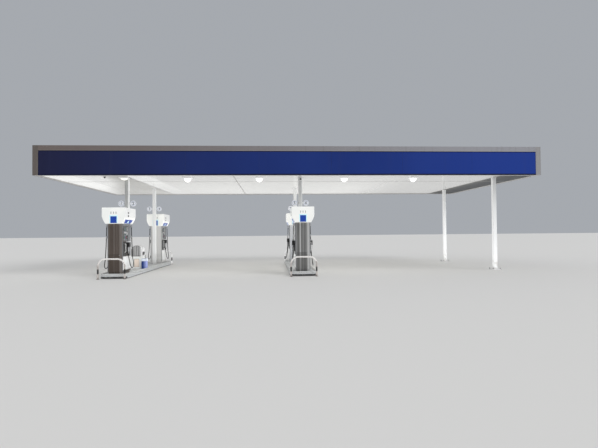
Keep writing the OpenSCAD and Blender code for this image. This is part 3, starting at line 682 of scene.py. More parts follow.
for number in range(5):
    x = row_x[0] - 0.02 + sum(light_steps[:number])
    bowl = copy(bowl_model, "bowl", (x, y, housing_low))
    if number == 0:
        for vertex in bowl.data.vertices:
            vertex.co.z = housing_low + (vertex.co.z - housing_low) * 0.45
    parts = [pad(x, y, light_half, housing_low, z, housing_glow_white, 0.012, 3),
             stud((x, y, housing_low), (0, 0, -0.008), bowl_r + 0.008, housing_glow_white, sides=48, edge=0.002),
             pad(x, y, light_half + 0.008, z - 0.003, z, housing_glow_white, 0.001),
             pad(x, y, inner, z, z + 0.045, housing_glow_white, 0.006),
             bowl]
    for i in range(9):
        fin = x - inner + 0.04 + i * (2 * inner - 0.08) / 8
        parts.append(block((fin - 0.003, y - inner + 0.02, z + 0.04),
                           (fin + 0.003, y + inner - 0.02, z + 0.065), housing_glow_white, 0.001))
    for sx, sy in corners:
        clip = (x + sx * (bowl_r - 0.012), y + sy * (bowl_r - 0.012), housing_low)
        parts.append(stud(clip, (0, 0, -0.007), 0.008, zinc, sides=12, edge=0.001))
    mount(join(f"canopy_light_{number + 1}", parts), "light_lens", "canopy_lights")
bpy.data.objects.remove(bowl_model)

# Fascia sheets
# The blue field is made of flat sheets set edge to edge on a ladder of rails and studs, with dark sealant
# in their fine joints. The paint is a deep satin blue, dull at the left end and brighter to the right. A
# painted shadow darkens it under the coping, and a dark painted line runs along its bottom edge.
blue_coat, point = coat("blue_coat", Specular_IOR_Level=0.16)
fade = point.noise(0.35, 3).span(0.3, 0.75)
streak = point.noise(5, 2, (1, 1, 0.05)).span(0.5, 0.9)
across, height = point.axis(0), point.axis(2)
coping_low, coping_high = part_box("coping")
fresh = fade.blend((0.0075, 0.026, 0.162, 1), (0.0090, 0.031, 0.185, 1))
bright = across.span(0.0, 9.7).blend(fresh, (0.0095, 0.040, 0.270, 1))
dull = 1 - across.span(-11.0, 1.0)
low_rim, high_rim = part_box("fascia_front")[0].z + 0.03, coping_low.z - 0.03
# Painted shadow: a dark band under the coping and a dark line along the bottom edge.
edge_shadow = (1 - height.span(low_rim - 0.01, low_rim + 0.01)) + height.span(high_rim - 0.01, high_rim + 0.01)
blue = edge_shadow.blend(dull.blend(bright, (0.0120, 0.0135, 0.045, 1)), (0.004, 0.007, 0.035, 1))
lay(blue_coat, Base_Color=(streak * 0.12).blend(blue, (0.030, 0.040, 0.12, 1)),
    Roughness=0.36 + 0.12 * streak + 0.08 * fade)
joint, sealant_in, sheet_w = 0.003, 0.002, 2.8
for name in ("fascia_front", "fascia_back", "fascia_left", "fascia_right"):
    low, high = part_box(name)
    way = 0 if high.x - low.x > high.y - low.y else 1
    count = round((high[way] - low[way]) / sheet_w)
    step = (high[way] - low[way]) / count
    parts = []
    for i in range(count):
        a, b = low.copy(), high.copy()
        a[way] = low[way] + i * step + joint / 2
        b[way] = low[way] + (i + 1) * step - joint / 2
        parts.append(block(a, b, blue_coat, 0.002))
    for i in range(1, count):
        a, b = low.copy(), high.copy()
        a[way] = low[way] + i * step - joint
        b[way] = low[way] + i * step + joint
        a[1 - way] += sealant_in
        b[1 - way] -= sealant_in
        parts.append(block(a, b, rubber))
    mount(join(name + "_sheets", parts), "fascia_blue", name)

# Coping, corner trims and drip edge
# Folded off-white sheet caps the fascia and frames each face. It is painted a dark warm grey as painted
# shade, darkest on the left and on the corner trims, with a lighter line along the coping's lower lip as a
# painted highlight. Lengths meet under riveted lap covers. The drip edge is blue outside, under the sheets,
# and painted mid grey below as painted shade.


def slab(way, run, across, up, finish, edge=0.0):
    """A block along x (way 0) or y (way 1), by pairs of limits along, across and up, in any order."""
    limits = (run, across, up) if way == 0 else (across, run, up)
    low, high = zip(*(sorted(pair) for pair in limits))
    return block(low, high, finish, edge)


trim_coat, point = coat("trim_coat", Specular_IOR_Level=0.3)
run = point.noise(9, 4, (1, 1, 0.07)).span(0.5, 0.82)
# Painted shade: the off-white sheet is painted dark warm grey on the left, lighter to the right.
right = (point.axis(0) + point.noise(1.1, 3)).span(-10.0, 10.0)
shade = right.blend((0.150, 0.122, 0.112, 1), (0.300, 0.300, 0.325, 1))
corner = abs(point.axis(0)).span(9.545, 9.555)
# Painted highlight: the coping's lower lip is painted lighter.
lip = (1 - point.axis(2).span(coping_high.z - 0.178, coping_high.z - 0.170)) * (1 - corner)
shade = (lip * 0.7).blend(shade, right.blend((0.225, 0.200, 0.185, 1), (0.40, 0.40, 0.42, 1)))
# The corner trims are painted darker as painted shade.
shade = corner.blend(shade, right.blend((0.120, 0.102, 0.092, 1), (0.30, 0.295, 0.30, 1)))
lay(trim_coat, Base_Color=(run * 0.4).blend(shade, grey(0.16, (1, 0.95, 0.90))),
    Roughness=0.42 + 0.2 * run, Normal=point.noise(2.2, 2).bump(0.05, 0.008))
dress("trim_white", trim_coat, "coping", "corner_trims")
low, high = coping_low, coping_high
lap_half, cover_t, cap_w, cover_edge = 0.05, 0.0015, 0.13, 0.0006
rivets = ((-0.035, 0.03), (-0.035, 0.16), (0.035, 0.03), (0.035, 0.16))
parts = []
for way, lengths in ((0, 7), (1, 3)):
    for face in (-1, 1):
        out = (low if face < 0 else high)[1 - way]
        for i in range(1, lengths):
            lap = low[way] + i * (high[way] - low[way]) / lengths
            ends = (lap - lap_half, lap + lap_half)
            parts.append(slab(way, ends, (out - cover_t, out + cover_t), (low.z, high.z), trim_coat,
                              cover_edge))
            parts.append(slab(way, ends, (out, out - face * cap_w), (high.z - 0.001, high.z + cover_t),
                              trim_coat, cover_edge))
            for dx, dz in rivets if way == 0 else ():
                parts.append(stud((lap + dx, out + face * 0.001, low.z + dz), (0, face * 0.003, 0), 0.005,
                                  trim_coat, top=0.003, sides=10))
mount(join("coping_laps", parts), "trim_white")

low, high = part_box("drip_edge")
nose_t, return_w, end_w = 0.016, 0.165, 0.2
parts = []
for face in (-1, 1):
    for way, mitre, back in ((0, nose_t, nose_t), (1, 0, return_w)):
        out = (low if face < 0 else high)[1 - way]
        a, b = low[way], high[way]
        for run, finish in (((a + mitre, a + end_w), trim_coat), ((a + end_w, b - end_w), blue_coat),
                            ((b - end_w, b - mitre), trim_coat)):
            parts.append(slab(way, run, (out, out - face * nose_t), (low.z, high.z), finish, 0.002))
        # The drip edge's underside is painted mid grey as painted shade.
        parts.append(slab(way, (a + back, b - back), (out - face * nose_t, out - face * return_w),
                          (low.z + 0.001, high.z), strip_shade_grey, 0.002))
mount(join("drip_nosing", parts), "trim_white", "drip_edge")

# Roof steel
# Two deep rolled beams run the length of the canopy on the columns, with purlins under them that carry the
# deck, a cross beam on the right columns, and light rails behind the fascia, all in grey primer.
primer = scuffed("primer", (5, 5), (0.6, 0.72), grey(0.30, (1, 1.0, 1.02)), (0.16, 0.075, 0.035, 1),
                 (0.55, 0.3), ((60, 4), 0.2, 0.002))
dress("frame_steel", primer, "beam_front", "beam_back", "cross_beam", "purlins", "fascia_frame")
web_half, splice_half, splice_t, flange_half = 0.005, 0.22, 0.012, 0.088
parts = []
for name in ("beam_front", "beam_back"):
    low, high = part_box(name)
    middle = (low.y + high.y) / 2
    for x in (-3.2, 4.1):
        for side in (-1, 1):
            face = middle + side * web_half
            out = face + side * splice_t
            parts.append(slab(0, (x - splice_half, x + splice_half), (face, out),
                              (low.z + 0.06, high.z - 0.06), primer, 0.002))
            for i in range(6):
                for k in range(4):
                    nut = (x - 0.175 + i * 0.07, out, low.z + 0.11 + k * 0.063)
                    parts.append(stud(nut, (0, side * 0.012, 0), 0.013, zinc, sides=6, edge=0.001))
    for x in row_x:
        for side in (-1, 1):
            parts.append(slab(0, (x - 0.006, x + 0.006), (middle, middle + side * flange_half),
                              (low.z + 0.014, high.z - 0.014), primer))
mount(join("beam_splices", parts), "frame_steel")

# Cameras
# A smoked dome camera hangs under the deck near the left end, and a small box camera looks forward from the
# head of the middle front column.
black_shell = plain("black_shell", (50,), grey(0.02), grey(0.045), (0.3, 0.2, 80))
pale_shell = plain("pale_shell", (30,), grey(0.50), grey(0.60), (0.35, 0.2, 60))
smoked = plain("smoked", (20,), grey(0.006), grey(0.012), Roughness=0.04, Coat_Weight=0.6)
dome = Vector((cad_box[0].x + 2.38, fascia_face + 0.625, deck_under))
dome_foot = dome - Vector((0, 0, 0.022))
bubble = half_ball(32, 16, 0.036, dome_foot, 0.002)
bubble.data.materials.append(smoked)
dome_base = rod(dome_foot, dome, 0.038, black_shell, top=0.044, sides=32, edge=0.004)
mount(join("dome_camera", [dome_base, bubble]), "camera_black", "security_cameras")
box_model = join("box_model", [
    block((-0.035, -0.23, 0), (0.035, -0.06, 0.07), pale_shell, 0.008, 3),
    block((-0.041, -0.245, 0.066), (0.041, -0.05, 0.074), pale_shell, 0.003),
    stud((0, -0.225, 0.035), (0, -0.011, 0), 0.031, black_shell, edge=0.002),
    stud((0, -0.230, 0.035), (0, -0.008, 0), 0.020, smoked, edge=0.002),
    stud((0, -0.06, 0.035), (0, 0.05, 0), 0.012, pale_shell),
    stud((0, -0.012, 0.035), (0, 0.012, 0), 0.03, pale_shell, edge=0.002)])
bracket = (row_x[1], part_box("column_mid_front")[0].y + 0.049, deck_under - 0.12)
mount(copy(box_model, "box_camera", bracket), "camera_black")
bpy.data.objects.remove(box_model)

# Number flags
# A pair of round plates stands on short arms out of the sides of each island column. Each plate is white
# with a fine blue-grey ring and its pump's number, cut from vinyl, on both faces.
flag_white = plain("flag_white", (8, 3), grey(0.88, (0.98, 0.99, 1.02)), grey(0.93, (0.98, 0.99, 1.02)),
                   (0.25, 0.15, 30))
vinyl_blue = plain("vinyl_blue", (15,), (0.16, 0.24, 0.42, 1), (0.20, 0.28, 0.48, 1), (0.3, 0.1, 40))
vinyl_grey = plain("vinyl_grey", (15,), (0.09, 0.115, 0.16, 1), (0.13, 0.16, 0.22, 1), (0.3, 0.1, 40))
flag_z, flag_r, flag_off, flag_t = 2.82, 0.115, 0.235, 0.014
arm_t, arm_h, foot_t, foot_half = 0.008, 0.04, 0.006, 0.035
number = 0
for name in stands:
    x, y = centre("column_" + name).xy
    parts = []
    for side in (-1, 1):
        number += 1
        face = x + side * column_half
        disc = Vector((x + side * flag_off, y - arm_t / 2, flag_z))
        parts.append(slab(0, (face + side * 0.004, disc.x), (disc.y, y + arm_t / 2),
                          (flag_z - arm_h / 2, flag_z + arm_h / 2), column_paint, 0.002))
        parts.append(slab(0, (face, face + side * foot_t), (y - foot_half, y + foot_half),
                          (flag_z - foot_half, flag_z + foot_half), column_paint, 0.002))
        for sy, sz in corners:
            spot = (face + side * foot_t, y + sy * 0.024, flag_z + sz * 0.024)
            parts.append(stud(spot, (side * 0.005, 0, 0), 0.006, zinc, sides=6, edge=0.001))
        parts.append(stud(disc, (0, -flag_t, 0), flag_r, flag_white, sides=64, edge=0.003))
        for out, turn in ((-flag_t, 0), (0, math.pi)):
            spot = disc + Vector((0, out, 0))
            start()
            bpy.ops.mesh.primitive_torus_add(
                location=spot, rotation=(math.pi / 2, 0, 0), major_segments=64, minor_segments=8,
                major_radius=flag_r - 0.032, minor_radius=0.006)
            ring = bpy.context.object
            bpy.ops.object.transform_apply()
            ring.data.materials.append(vinyl_blue)
            start()
            bpy.ops.object.text_add(location=spot, rotation=(math.pi / 2, 0, turn))
            figure = bpy.context.object
            figure.data.body = str(number)
            figure.data.size = 0.155
            figure.data.extrude = 0.0012
            figure.data.offset = 0.004
            figure.data.align_x = "CENTER"
            figure.data.align_y = "CENTER"
            bpy.ops.object.convert(target="MESH")
            figure = bpy.context.object
            bpy.ops.object.transform_apply()
            figure.data.materials.append(vinyl_grey)
            parts += [ring, figure]
        spot = disc + Vector((-side * 0.03, arm_t, 0))
        parts.append(stud(spot, (0, 0.005, 0), 0.008, zinc, sides=6, edge=0.001))
    mount(join("flags_" + name, parts), "flag_white", "number_flags")

# Hoop guards
# A hoop of thick tube stands at each end of an island, bent in one length, flanged and bolted down. The pale
# paint is rubbed through in places, and each leg wears a black band. The two front hoops are painted darker
# and pinker, most on their legs, as painted shade.
hoop_paint, point = coat("hoop_paint")
height = point.axis(2)
band = height.span(0.19, 0.195) * (1 - height.span(0.355, 0.36))
rub = point.noise(18, 4).span(0.55, 0.70)
foot = (1 - height.span(0.02, 0.10)) * point.noise(25, 4).span(0.35, 0.6)
# Painted shade: the front hoops are painted darker and pinker, most on the legs below the bends.
front = 1 - point.axis(1).span(-1.0, 1.0)
legs = 1 - height.span(0.44, 0.60)
fresh = front.blend(grey(0.90), legs.blend(grey(0.80, (1, 0.97, 0.94)), grey(0.42, (1, 0.92, 0.87))))
pale = rub.blend(fresh, front.blend(grey(0.58, (1, 0.94, 0.90)), grey(0.30, (1, 0.90, 0.84))))
lay(hoop_paint, Base_Color=foot.blend(band.blend(pale, grey(0.02)), grey(0.10, (1, 0.85, 0.7))),
    Roughness=0.30 + 0.3 * rub, Metallic=0.10 - 0.10 * band, Normal=point.noise(40, 3).bump(0.15, 0.002))
bend, hoop_top, hoop_half, flange_r, flange_t, tube_r = 0.26, 0.72, 0.47, 0.06, 0.010, 0.03
turns = [math.radians(6 * i) for i in range(1, 15)]
leg = [(hoop_half, 0.004), (hoop_half, hoop_top - bend),
       *[(hoop_half - bend + bend * math.cos(a), hoop_top - bend + bend * math.sin(a)) for a in turns],
       (hoop_half - bend, hoop_top)]
for name in ("hoops_left", "hoops_mid"):
    low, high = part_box(name)
    x = (low.x + high.x) / 2
    for end, y in (("front", low.y + flange_r), ("back", high.y - flange_r)):
        line = [(x - out, y, up) for out, up in leg] + [(x + out, y, up) for out, up in reversed(leg)]
        parts = [tube(line, tube_r, hoop_paint, sides=8)]
        for side in (-1, 1):
            foot_x = x + side * hoop_half
            parts += turnings(foot_x, y, ((hoop_paint, 0, flange_t, flange_r, flange_r, 0.002, 32),
                                          (hoop_paint, 0.009, 0.016, tube_r + 0.006, tube_r, 0.0, 24)))
            for sx, sy in corners:
                spot = (foot_x + sx * 0.046 * math.sqrt(0.5), y + sy * 0.046 * math.sqrt(0.5), flange_t)
                parts.append(stud(spot, (0, 0, 0.008), 0.008, zinc, sides=6, edge=0.001))
        mount(join(f"{name}_{end}", parts), "hoop_white", name)

# Dispenser cabinets
# Each cabinet is brushed stainless sheet with the grain upright, painted darker and browner on the first and
# palest on the two at the back as painted light, with bright painted reflections in stripes: ribbed ends, a
# door low on each side, painted pale as a painted reflection, and a customer's panel above with a screen and
# keys.


def brushed_sheet(name, metal, dark, light, tint, reflection_stripes=()):
    """Stainless sheet with its grain upright, in soft bands of two tones that are a painted sheen. Reflection
    stripes, each by its place and half width, are painted brighter as painted reflections, and below the
    panel all is painted darker as painted shade but the last of them."""
    finish, point = coat(name, Metallic=metal)
    grain = point.noise(160, 3, (1, 1, 0.012))
    smear = point.noise(3.5, 4, (1, 1, 0.4)).span(0.4, 0.75)
    sheen = point.noise(7.5, 2, (1, 0.35, 0.012)).span(0.34, 0.66) * (0.5 if reflection_stripes else 1.0)
    for x, half in reflection_stripes:
        reflection_stripe = 1 - abs(point.axis(0) - x).span(half * 0.6, half * 1.4)
        sheen = sheen.either(reflection_stripe)
    sheet = sheen.blend(grey(dark, tint), grey(light, [(1 + t) / 2 for t in tint]))
    if reflection_stripes:
        low = (1 - point.axis(2).span(0.872, 0.882)) * 0.45 * (1 - reflection_stripe)
        sheet = low.blend(sheet, grey(dark * 0.45, tint))
    lay(finish, Base_Color=(grain * 0.35 + smear * 0.2).blend(sheet, grey((dark + light) / 2, tint)),
        Roughness=0.30 + 0.10 * grain + 0.14 * smear, Normal=grain.bump(0.10, 0.0008))
    return finish


left_x, mid_x = stands["left_front"].x, stands["mid_front"].x
# Painted light: the front pair are painted darker and brown, the back pair pale, and the stripes are painted
# reflections.
brushed = brushed_sheet("brushed_brown", 1.0, 0.16, 0.37, (1, 0.81, 0.69),
                        [(left_x - 0.04, 0.012), (left_x + 0.2, 0.05)])
sheets = {"left_front": brushed,
          "mid_front": brushed_sheet("brushed_banded", 0.9, 0.105, 0.80, (1, 0.99, 0.96),
                                     [(mid_x - 0.095, 0.022), (mid_x + 0.21, 0.055)]),
          "left_back": brushed_sheet("brushed_pale", 0.3, 0.64, 0.82, (1, 0.99, 0.97)),
          "mid_back": brushed_sheet("brushed_cool", 0.3, 0.66, 0.84, (0.97, 0.99, 1.03))}
side_sheet, point = coat("side_sheet", Metallic=0.35)
grain = point.noise(160, 3, (1, 1, 0.012))
smear = point.noise(3.5, 4, (1, 1, 0.4)).span(0.4, 0.75)
sheet = (grain * 0.4 + smear * 0.5).blend(grey(0.27, (0.97, 1, 1.05)), grey(0.18, (0.98, 1, 1.03)))
lay(side_sheet, Base_Color=sheet, Roughness=0.32 + 0.10 * grain + 0.14 * smear,
    Normal=grain.bump(0.10, 0.0008))
# Painted reflection: the lower doors, their louvres and the hanger bar are painted pale, as the lit island
# reflects in them.
pale_reflection = scuffed("pale_reflection", (3.5, 4, (1, 1, 0.4)), (0.45, 0.75), grey(0.80, (0.99, 1, 1)),
                    grey(0.62, (1, 0.98, 0.95)), (0.28, 0.2))
for name, sheet in sheets.items():
    dress("cabinet_steel", sheet, "cabinet_" + name)
panel_dark = plain("panel_dark", (30, 3), grey(0.03), grey(0.06), (0.35, 0.2, 60))
screen = plain("screen", (40,), grey(0.015), grey(0.03), None,
               ((12, 3), (0.09, 0.13, 0.13, 1), (0.16, 0.21, 0.20, 1)), Roughness=0.08, Emission_Strength=0.5)
key_grey = plain("key_grey", (40,), grey(0.42), grey(0.52), (0.4, 0.1, 70))
key_tones = (("green", (0.05, 0.13, 0.07)), ("blue", (0.05, 0.08, 0.19)), ("red", (0.19, 0.05, 0.05)))
key_coats = [plain("key_" + word, (30,), (*tone, 1), (*[1.25 * t for t in tone], 1), (0.3, 0.1, 60))
             for word, tone in key_tones]
cab_half_len, cab_h = 0.44, 1.85

# Flat parts of one side: limits out of the sheet, along it and up it, the finish, the edge and its segments
side_rows = [
    (-0.0135, -0.004, -0.348, 0.108, 1.212, 1.758, side_sheet, 0.003, 2),
    (-0.010, 0.001, -0.332, -0.048, 1.575, 1.742, panel_dark, 0.005, 3),
    (-0.004, 0.003, -0.318, -0.062, 1.590, 1.727, screen, 0.003, 2),
    (-0.008, 0.001, -0.030, 0.095, 1.555, 1.742, panel_dark, 0.004, 3),
    (-0.008, 0.006, -0.030, 0.095, 1.445, 1.530, key_grey, 0.006, 3),
    (0.002, 0.008, -0.010, 0.075, 1.480, 1.488, panel_dark, 0.001, 2),
    (-0.008, 0.004, -0.030, 0.095, 1.300, 1.400, panel_dark, 0.006, 3),
    (0.001, 0.006, -0.015, 0.080, 1.335, 1.345, key_grey, 0.001, 2),
    (-0.001, 0.006, -0.425, 0.425, 0.145, 0.640, pale_reflection, 0.003, 2),
    (-0.001, 0.006, -0.425, -0.100, 0.652, 1.180, panel_dark, 0.003, 2),
    (-0.001, 0.006, 0.100, 0.300, 0.652, 1.180, panel_dark, 0.003, 2),
    (-0.001, 0.006, 0.312, 0.425, 0.652, 1.180, side_sheet, 0.003, 2),
    (-0.001, 0.006, 0.120, 0.425, 1.192, 1.835, side_sheet, 0.003, 2),
    (-0.001, 0.006, -0.425, 0.108, 1.775, 1.835, side_sheet, 0.003, 2)]
for i, key_coat in enumerate(key_coats):
    y = -0.325 + i * 0.095
    side_rows += [(-0.008, 0.006, y, y + 0.075, 1.300, 1.385, key_coat, 0.006, 3),
                  (-0.008, 0.002, y, y + 0.075, 1.420, 1.475, screen, 0.003, 2),
                  (-0.008, 0.002, y, y + 0.075, 1.495, 1.545, key_grey, 0.003, 2)]
for i in range(12):
    y, z = -0.020 + (i % 3) * 0.037, 1.570 + (i // 3) * 0.041
    side_rows.append((-0.001, 0.005, y, y + 0.030, z, z + 0.032, key_grey, 0.002, 2))
for z in (1.50, 1.61):
    side_rows.append((-0.001, 0.005, -0.420, -0.362, z, z + 0.07, panel_dark, 0.002, 2))
for i in range(9):
    z = 0.19 + i * 0.022
    side_rows.append((0.004, 0.012, -0.30, 0.30, z, z + 0.010, pale_reflection, 0.002, 2))

# The boot is a moulded hood over the spout with a back plate that the grip leans on
boot_half, boot_reach, plate = 0.088, 0.119, 0.005
side_rows += [
    (-0.002, boot_reach + 0.001, -boot_half - 0.001, boot_half + 0.001, 1.160, 1.194, grip_pale, 0.003, 2),
    (-0.002, boot_reach, -boot_half, -boot_half + plate, 0.99, 1.165, guard_plastic, 0.002, 2),
    (-0.002, boot_reach, boot_half - plate, boot_half, 0.99, 1.165, guard_plastic, 0.002, 2),
    (boot_reach - 0.006, boot_reach, -boot_half, boot_half, 0.99, 1.165, guard_plastic, 0.002, 2),
    (-0.002, 0.0405, -boot_half, boot_half, 0.755, 1.0, guard_plastic, 0.008, 3)]
x = cabinet_half
side_parts = [block((x + a, c, e), (x + b, d, f), finish, edge, segments)
              for a, b, c, d, e, f, finish, edge, segments in side_rows]

# A hanger bar, two locks, and the swivel's arm, nut and elbow
hanger = [(0, 1.10), (0.03, 1.10), (0.045, 1.085), (0.045, 0.95), (0.045, 0.815), (0.03, 0.80), (0, 0.80)]
side_parts += [
    tube(smooth_route([(x + out, -0.25, up) for out, up in hanger]), 0.012, pale_reflection),
    stud((x + 0.004, 0.37, 0.58), (0.010, 0, 0), 0.014, cast_metal, edge=0.002),
    stud((x + 0.004, -0.37, 1.13), (0.008, 0, 0), 0.012, cast_metal, edge=0.002),
    stud((x, swivel_y, 1.79), (0.07, 0, 0), 0.021, cast_metal, edge=0.003),
    stud((x + 0.004, swivel_y, 1.79), (0.008, 0, 0), 0.034, cast_metal, sides=6, edge=0.002),
    stud((swivel_out, swivel_y, 1.76), (0, 0, 0.062), 0.0225, cast_metal, edge=0.006)]

# One end: upright half-round ribs between the grooves, bright corner trims and a ribbed service panel
y = -cab_half_len
end_parts = [block((-0.205, y - 0.010, 0.13), (0.205, y + 0.002, 0.74), brushed, 0.004),
             block((-0.245, y - 0.004, 1.775), (0.245, y + 0.002, 1.835), brushed, 0.003),
             stud((0.15, y - 0.008, 0.69), (0, -0.008, 0), 0.012, cast_metal, edge=0.002)]
for count, pitch, back, foot, top, radius, finish, sides, edge in (
        (13, 0.03, -0.009, 0.16, 0.655, 0.006, brushed, 10, 0.0),
        (2, 0.524, 0.004, 0.085, cab_h - 0.005, 0.013, side_sheet, 16, 0.002),
        (6, 0.07, 0.002, 0.76, 1.765, 0.008, brushed, 12, 0.0)):
    for i in range(count):
        end_parts += turnings((i - (count - 1) / 2) * pitch, y + back,
                              [(finish, foot, top, radius, radius, edge, sides)])
side_model = join("side_model", side_parts)
end_model = join("end_model", end_parts)
for name, stand in stands.items():
    where = (stand.x, stand.y, island_top)
    for side, turn in (("right", 0), ("left", 180)):
        mount(copy(side_model, f"panel_{name}_{side}", where, turn), "cabinet_steel")
    for end, turn in (("front", 0), ("back", 180)):
        ribs = mount(copy(end_model, f"ribs_{name}_{end}", where, turn), "cabinet_steel")
        for slot, finish in enumerate(ribs.data.materials):
            if finish == brushed:
                ribs.data.materials[slot] = sheets[name]
for model in (side_model, end_model):
    bpy.data.objects.remove(model)

# Lit heads
# A lit white head sits on each cabinet: a moulded skin, flat on top, that curves in at its lower edges, with
# its right side painted grey as painted shade. It carries a plain blue patch low on each end, with a pale
# halo, and a short blue band low on each side.
head_skin, point = coat("head_skin", Roughness=0.28, Emission_Strength=0.09)
across = point.axis(0)
glow = point.noise(1.3, 2).span(0.3, 0.7)
# Painted shade: the right side of each head is painted grey.
side_shade = across.span(left_x + 0.40, left_x + 0.42) * (1 - across.span(left_x + 0.5, left_x + 0.6))
side_shade = side_shade.either(across.span(mid_x + 0.40, mid_x + 0.42))
milk = glow.blend(grey(0.88, (0.99, 1, 0.97)), grey(0.93, (1, 1, 0.97)))
lay(head_skin, Base_Color=side_shade.blend(milk, grey(0.74)),
    Emission_Color=glow.blend((0.86, 0.95, 0.95, 1), (1.0, 1.0, 0.94, 1)))
patch_blue = plain("patch_blue", (4, 2), (0.002, 0.030, 0.22, 1), (0.004, 0.045, 0.34, 1), (0.25, 0.1, 20),
                   ((6,), (0.0, 0.04, 0.35, 1), (0.0, 0.07, 0.50, 1)), Emission_Strength=0.25)
halo = plain("halo", (9,), (0.55, 0.80, 0.86, 1), (0.62, 0.84, 0.88, 1), None,
             ((9,), (0.5, 0.9, 1.0, 1), (0.6, 0.95, 1.0, 1)), Roughness=0.3, Emission_Strength=0.2)
head_low, head_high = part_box("head_left_front")
head_w, head_len, head_h = head_high - head_low
head_foot, curve_w, curve_h = head_low.z, 0.125, 0.29


def tuck(up):
    """How far the skin has drawn in at a height above the head's foot."""
    return curve_w * max(0.0, 1 - up / curve_h) ** 1.5


skin = block((-head_w / 2, -head_len / 2, head_foot), (head_w / 2, head_len / 2, head_foot + head_h),
             head_skin)
bpy.ops.object.mode_set(mode="EDIT")
bpy.ops.mesh.select_all(action="SELECT")
bpy.ops.mesh.subdivide(number_cuts=23)
bpy.ops.object.mode_set(mode="OBJECT")
for vertex in skin.data.vertices:
    vertex.co.x *= 1 - tuck(vertex.co.z - head_foot) / (head_w / 2)
trim_edges(skin, 0.030, 4, 50)
head_parts = [skin]
for end in (-1, 1):
    y = end * head_len / 2
    for half, up, out, finish in ((0.145, 0.310, 0.0012, halo), (0.112, 0.270, 0.0026, patch_blue)):
        head_parts.append(slab(0, (-half, half), (y, y + end * out), (head_foot + 0.022, head_foot + up),
                               finish, 0.0005))
    for x in (-0.09, 0, 0.09):
        head_parts.append(slab(0, (x - 0.016, x + 0.016), (y, y + end * 0.002),
                               (head_foot + 0.36, head_foot + 0.44), key_grey, 0.0005))
for side in (-1, 1):
    for steps, foot, top, wide, narrow, out, finish in ((8, 0.012, 0.150, 0.44, 0.36, 0.0022, patch_blue),
                                                        (4, 0.035, 0.115, 0.02, 0.11, 0.0042, halo)):
        start()
        bpy.ops.mesh.primitive_grid_add(x_subdivisions=steps, y_subdivisions=12, size=1)
        strip = bpy.context.object
        for vertex in strip.data.vertices:
            share = vertex.co.x + 0.5
            up = foot + share * (top - foot)
            reach = narrow + share * (wide - narrow)
            y = vertex.co.y * 2 * reach - 0.06
            vertex.co = (side * (head_w / 2 - tuck(up) + out), y, head_foot + up)
        if strip.data.polygons[0].normal.x * side < 0:
            bpy.ops.object.mode_set(mode="EDIT")
            bpy.ops.mesh.select_all(action="SELECT")
            bpy.ops.mesh.flip_normals()
            bpy.ops.object.mode_set(mode="OBJECT")
        strip.data.materials.append(finish)
        thick = strip.modifiers.new("thick", "SOLIDIFY")
        thick.thickness = 0.003
        bpy.ops.object.modifier_apply(modifier="thick")
        head_parts.append(strip)
    for up in (0.26, 0.375):
        low = Vector((side * (head_w / 2 + 0.001) - 0.002, -0.33, head_foot + up))
        head_parts.append(block(low, low + Vector((0.004, 0.12, 0.055)), panel_dark, 0.001))
head_whole = join("head_whole", head_parts)
for name, stand in stands.items():
    mount(copy(head_whole, "lit_head_" + name, (stand.x, stand.y, 0)), "head_white", "head_" + name)
bpy.data.objects.remove(head_whole)

# Waste bin
# A square steel bin stands between the pumps of the left island. Its off-white body has pressed panels and
# a plain peach notice plate, and its brushed hood is folded from flat facets, with ribs and two mouths. The
# hood's right side is painted light as a painted highlight, and the ribs are painted pale as painted
# highlights.
bin_coat = scuffed("bin_coat", (7, 4), (0.5, 0.75), grey(0.97, (0.99, 1, 0.97)), grey(0.80, (1, 0.97, 0.92)),
                   (0.4, 0.25))
hood_low, hood_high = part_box("bin_hood")
hood_sheet, point = coat("hood_sheet")
# Painted highlight: the hood's right side is painted light and less metallic.
right_highlight = point.axis(0).span(hood_high.x - 0.12, hood_high.x - 0.02)
grain = point.noise(160, 3, (1, 0.02, 1))
run = point.noise(9, 4, (1, 1, 0.12)).span(0.45, 0.7)
worn = run.blend(grey(0.43, (1, 0.99, 0.97)), grey(0.24, (1, 0.98, 0.95)))
lay(hood_sheet, Base_Color=right_highlight.blend(worn, run.blend(grey(0.88), grey(0.72))), Metallic=0.9 - 0.7 * right_highlight,
    Roughness=0.30 + 0.15 * grain + 0.1 * run, Normal=grain.bump(0.10, 0.0008))
peach = plain("peach_plate", (10, 3), (0.88, 0.74, 0.62, 1), (0.93, 0.81, 0.71, 1), (0.35, 0.2, 30))
plate_rim = plain("plate_rim", (20,), (0.36, 0.31, 0.27, 1), (0.46, 0.41, 0.36, 1), (0.4, 0.1, 30))
# The ribs are painted pale as painted highlights.
rib_bright = plain("rib_bright", (30, 3), grey(0.72), grey(0.88), (0.25, 0.2, 40), Metallic=0.5)
dress("bin_white", bin_coat, "bin_body")
dress("bin_steel", hood_sheet, "bin_hood")
low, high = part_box("bin_body")
x, y, z = (low + high) / 2
half = (high.x - low.x) / 2
frame_w, frame_t, foot, top = 0.035, 0.006, low.z + 0.02, high.z - 0.012
bin_panel = join("bin_panel", [
    block((half - 0.001, a, b), (half + out, c, d), finish, edge) for out, a, c, b, d, finish, edge in (
        (frame_t, -half, -half + frame_w, foot, top, bin_coat, 0.003),
        (frame_t, half - frame_w, half, foot, top, bin_coat, 0.003),
        (frame_t, -half + frame_w, half - frame_w, foot, low.z + 0.06, bin_coat, 0.003),
        (frame_t, -half + frame_w, half - frame_w, high.z - 0.05, top, bin_coat, 0.003),
        (0.002, -0.108, 0.108, z - 0.20, z + 0.155, plate_rim, 0.001),
        (0.004, -0.094, 0.094, z - 0.186, z + 0.141, peach, 0.002))])
for side, turn in (("right", 0), ("back", 90), ("left", 180), ("front", 270)):
    mount(copy(bin_panel, "bin_panel_" + side, (x, y, 0), turn), "bin_white")
bpy.data.objects.remove(bin_panel)

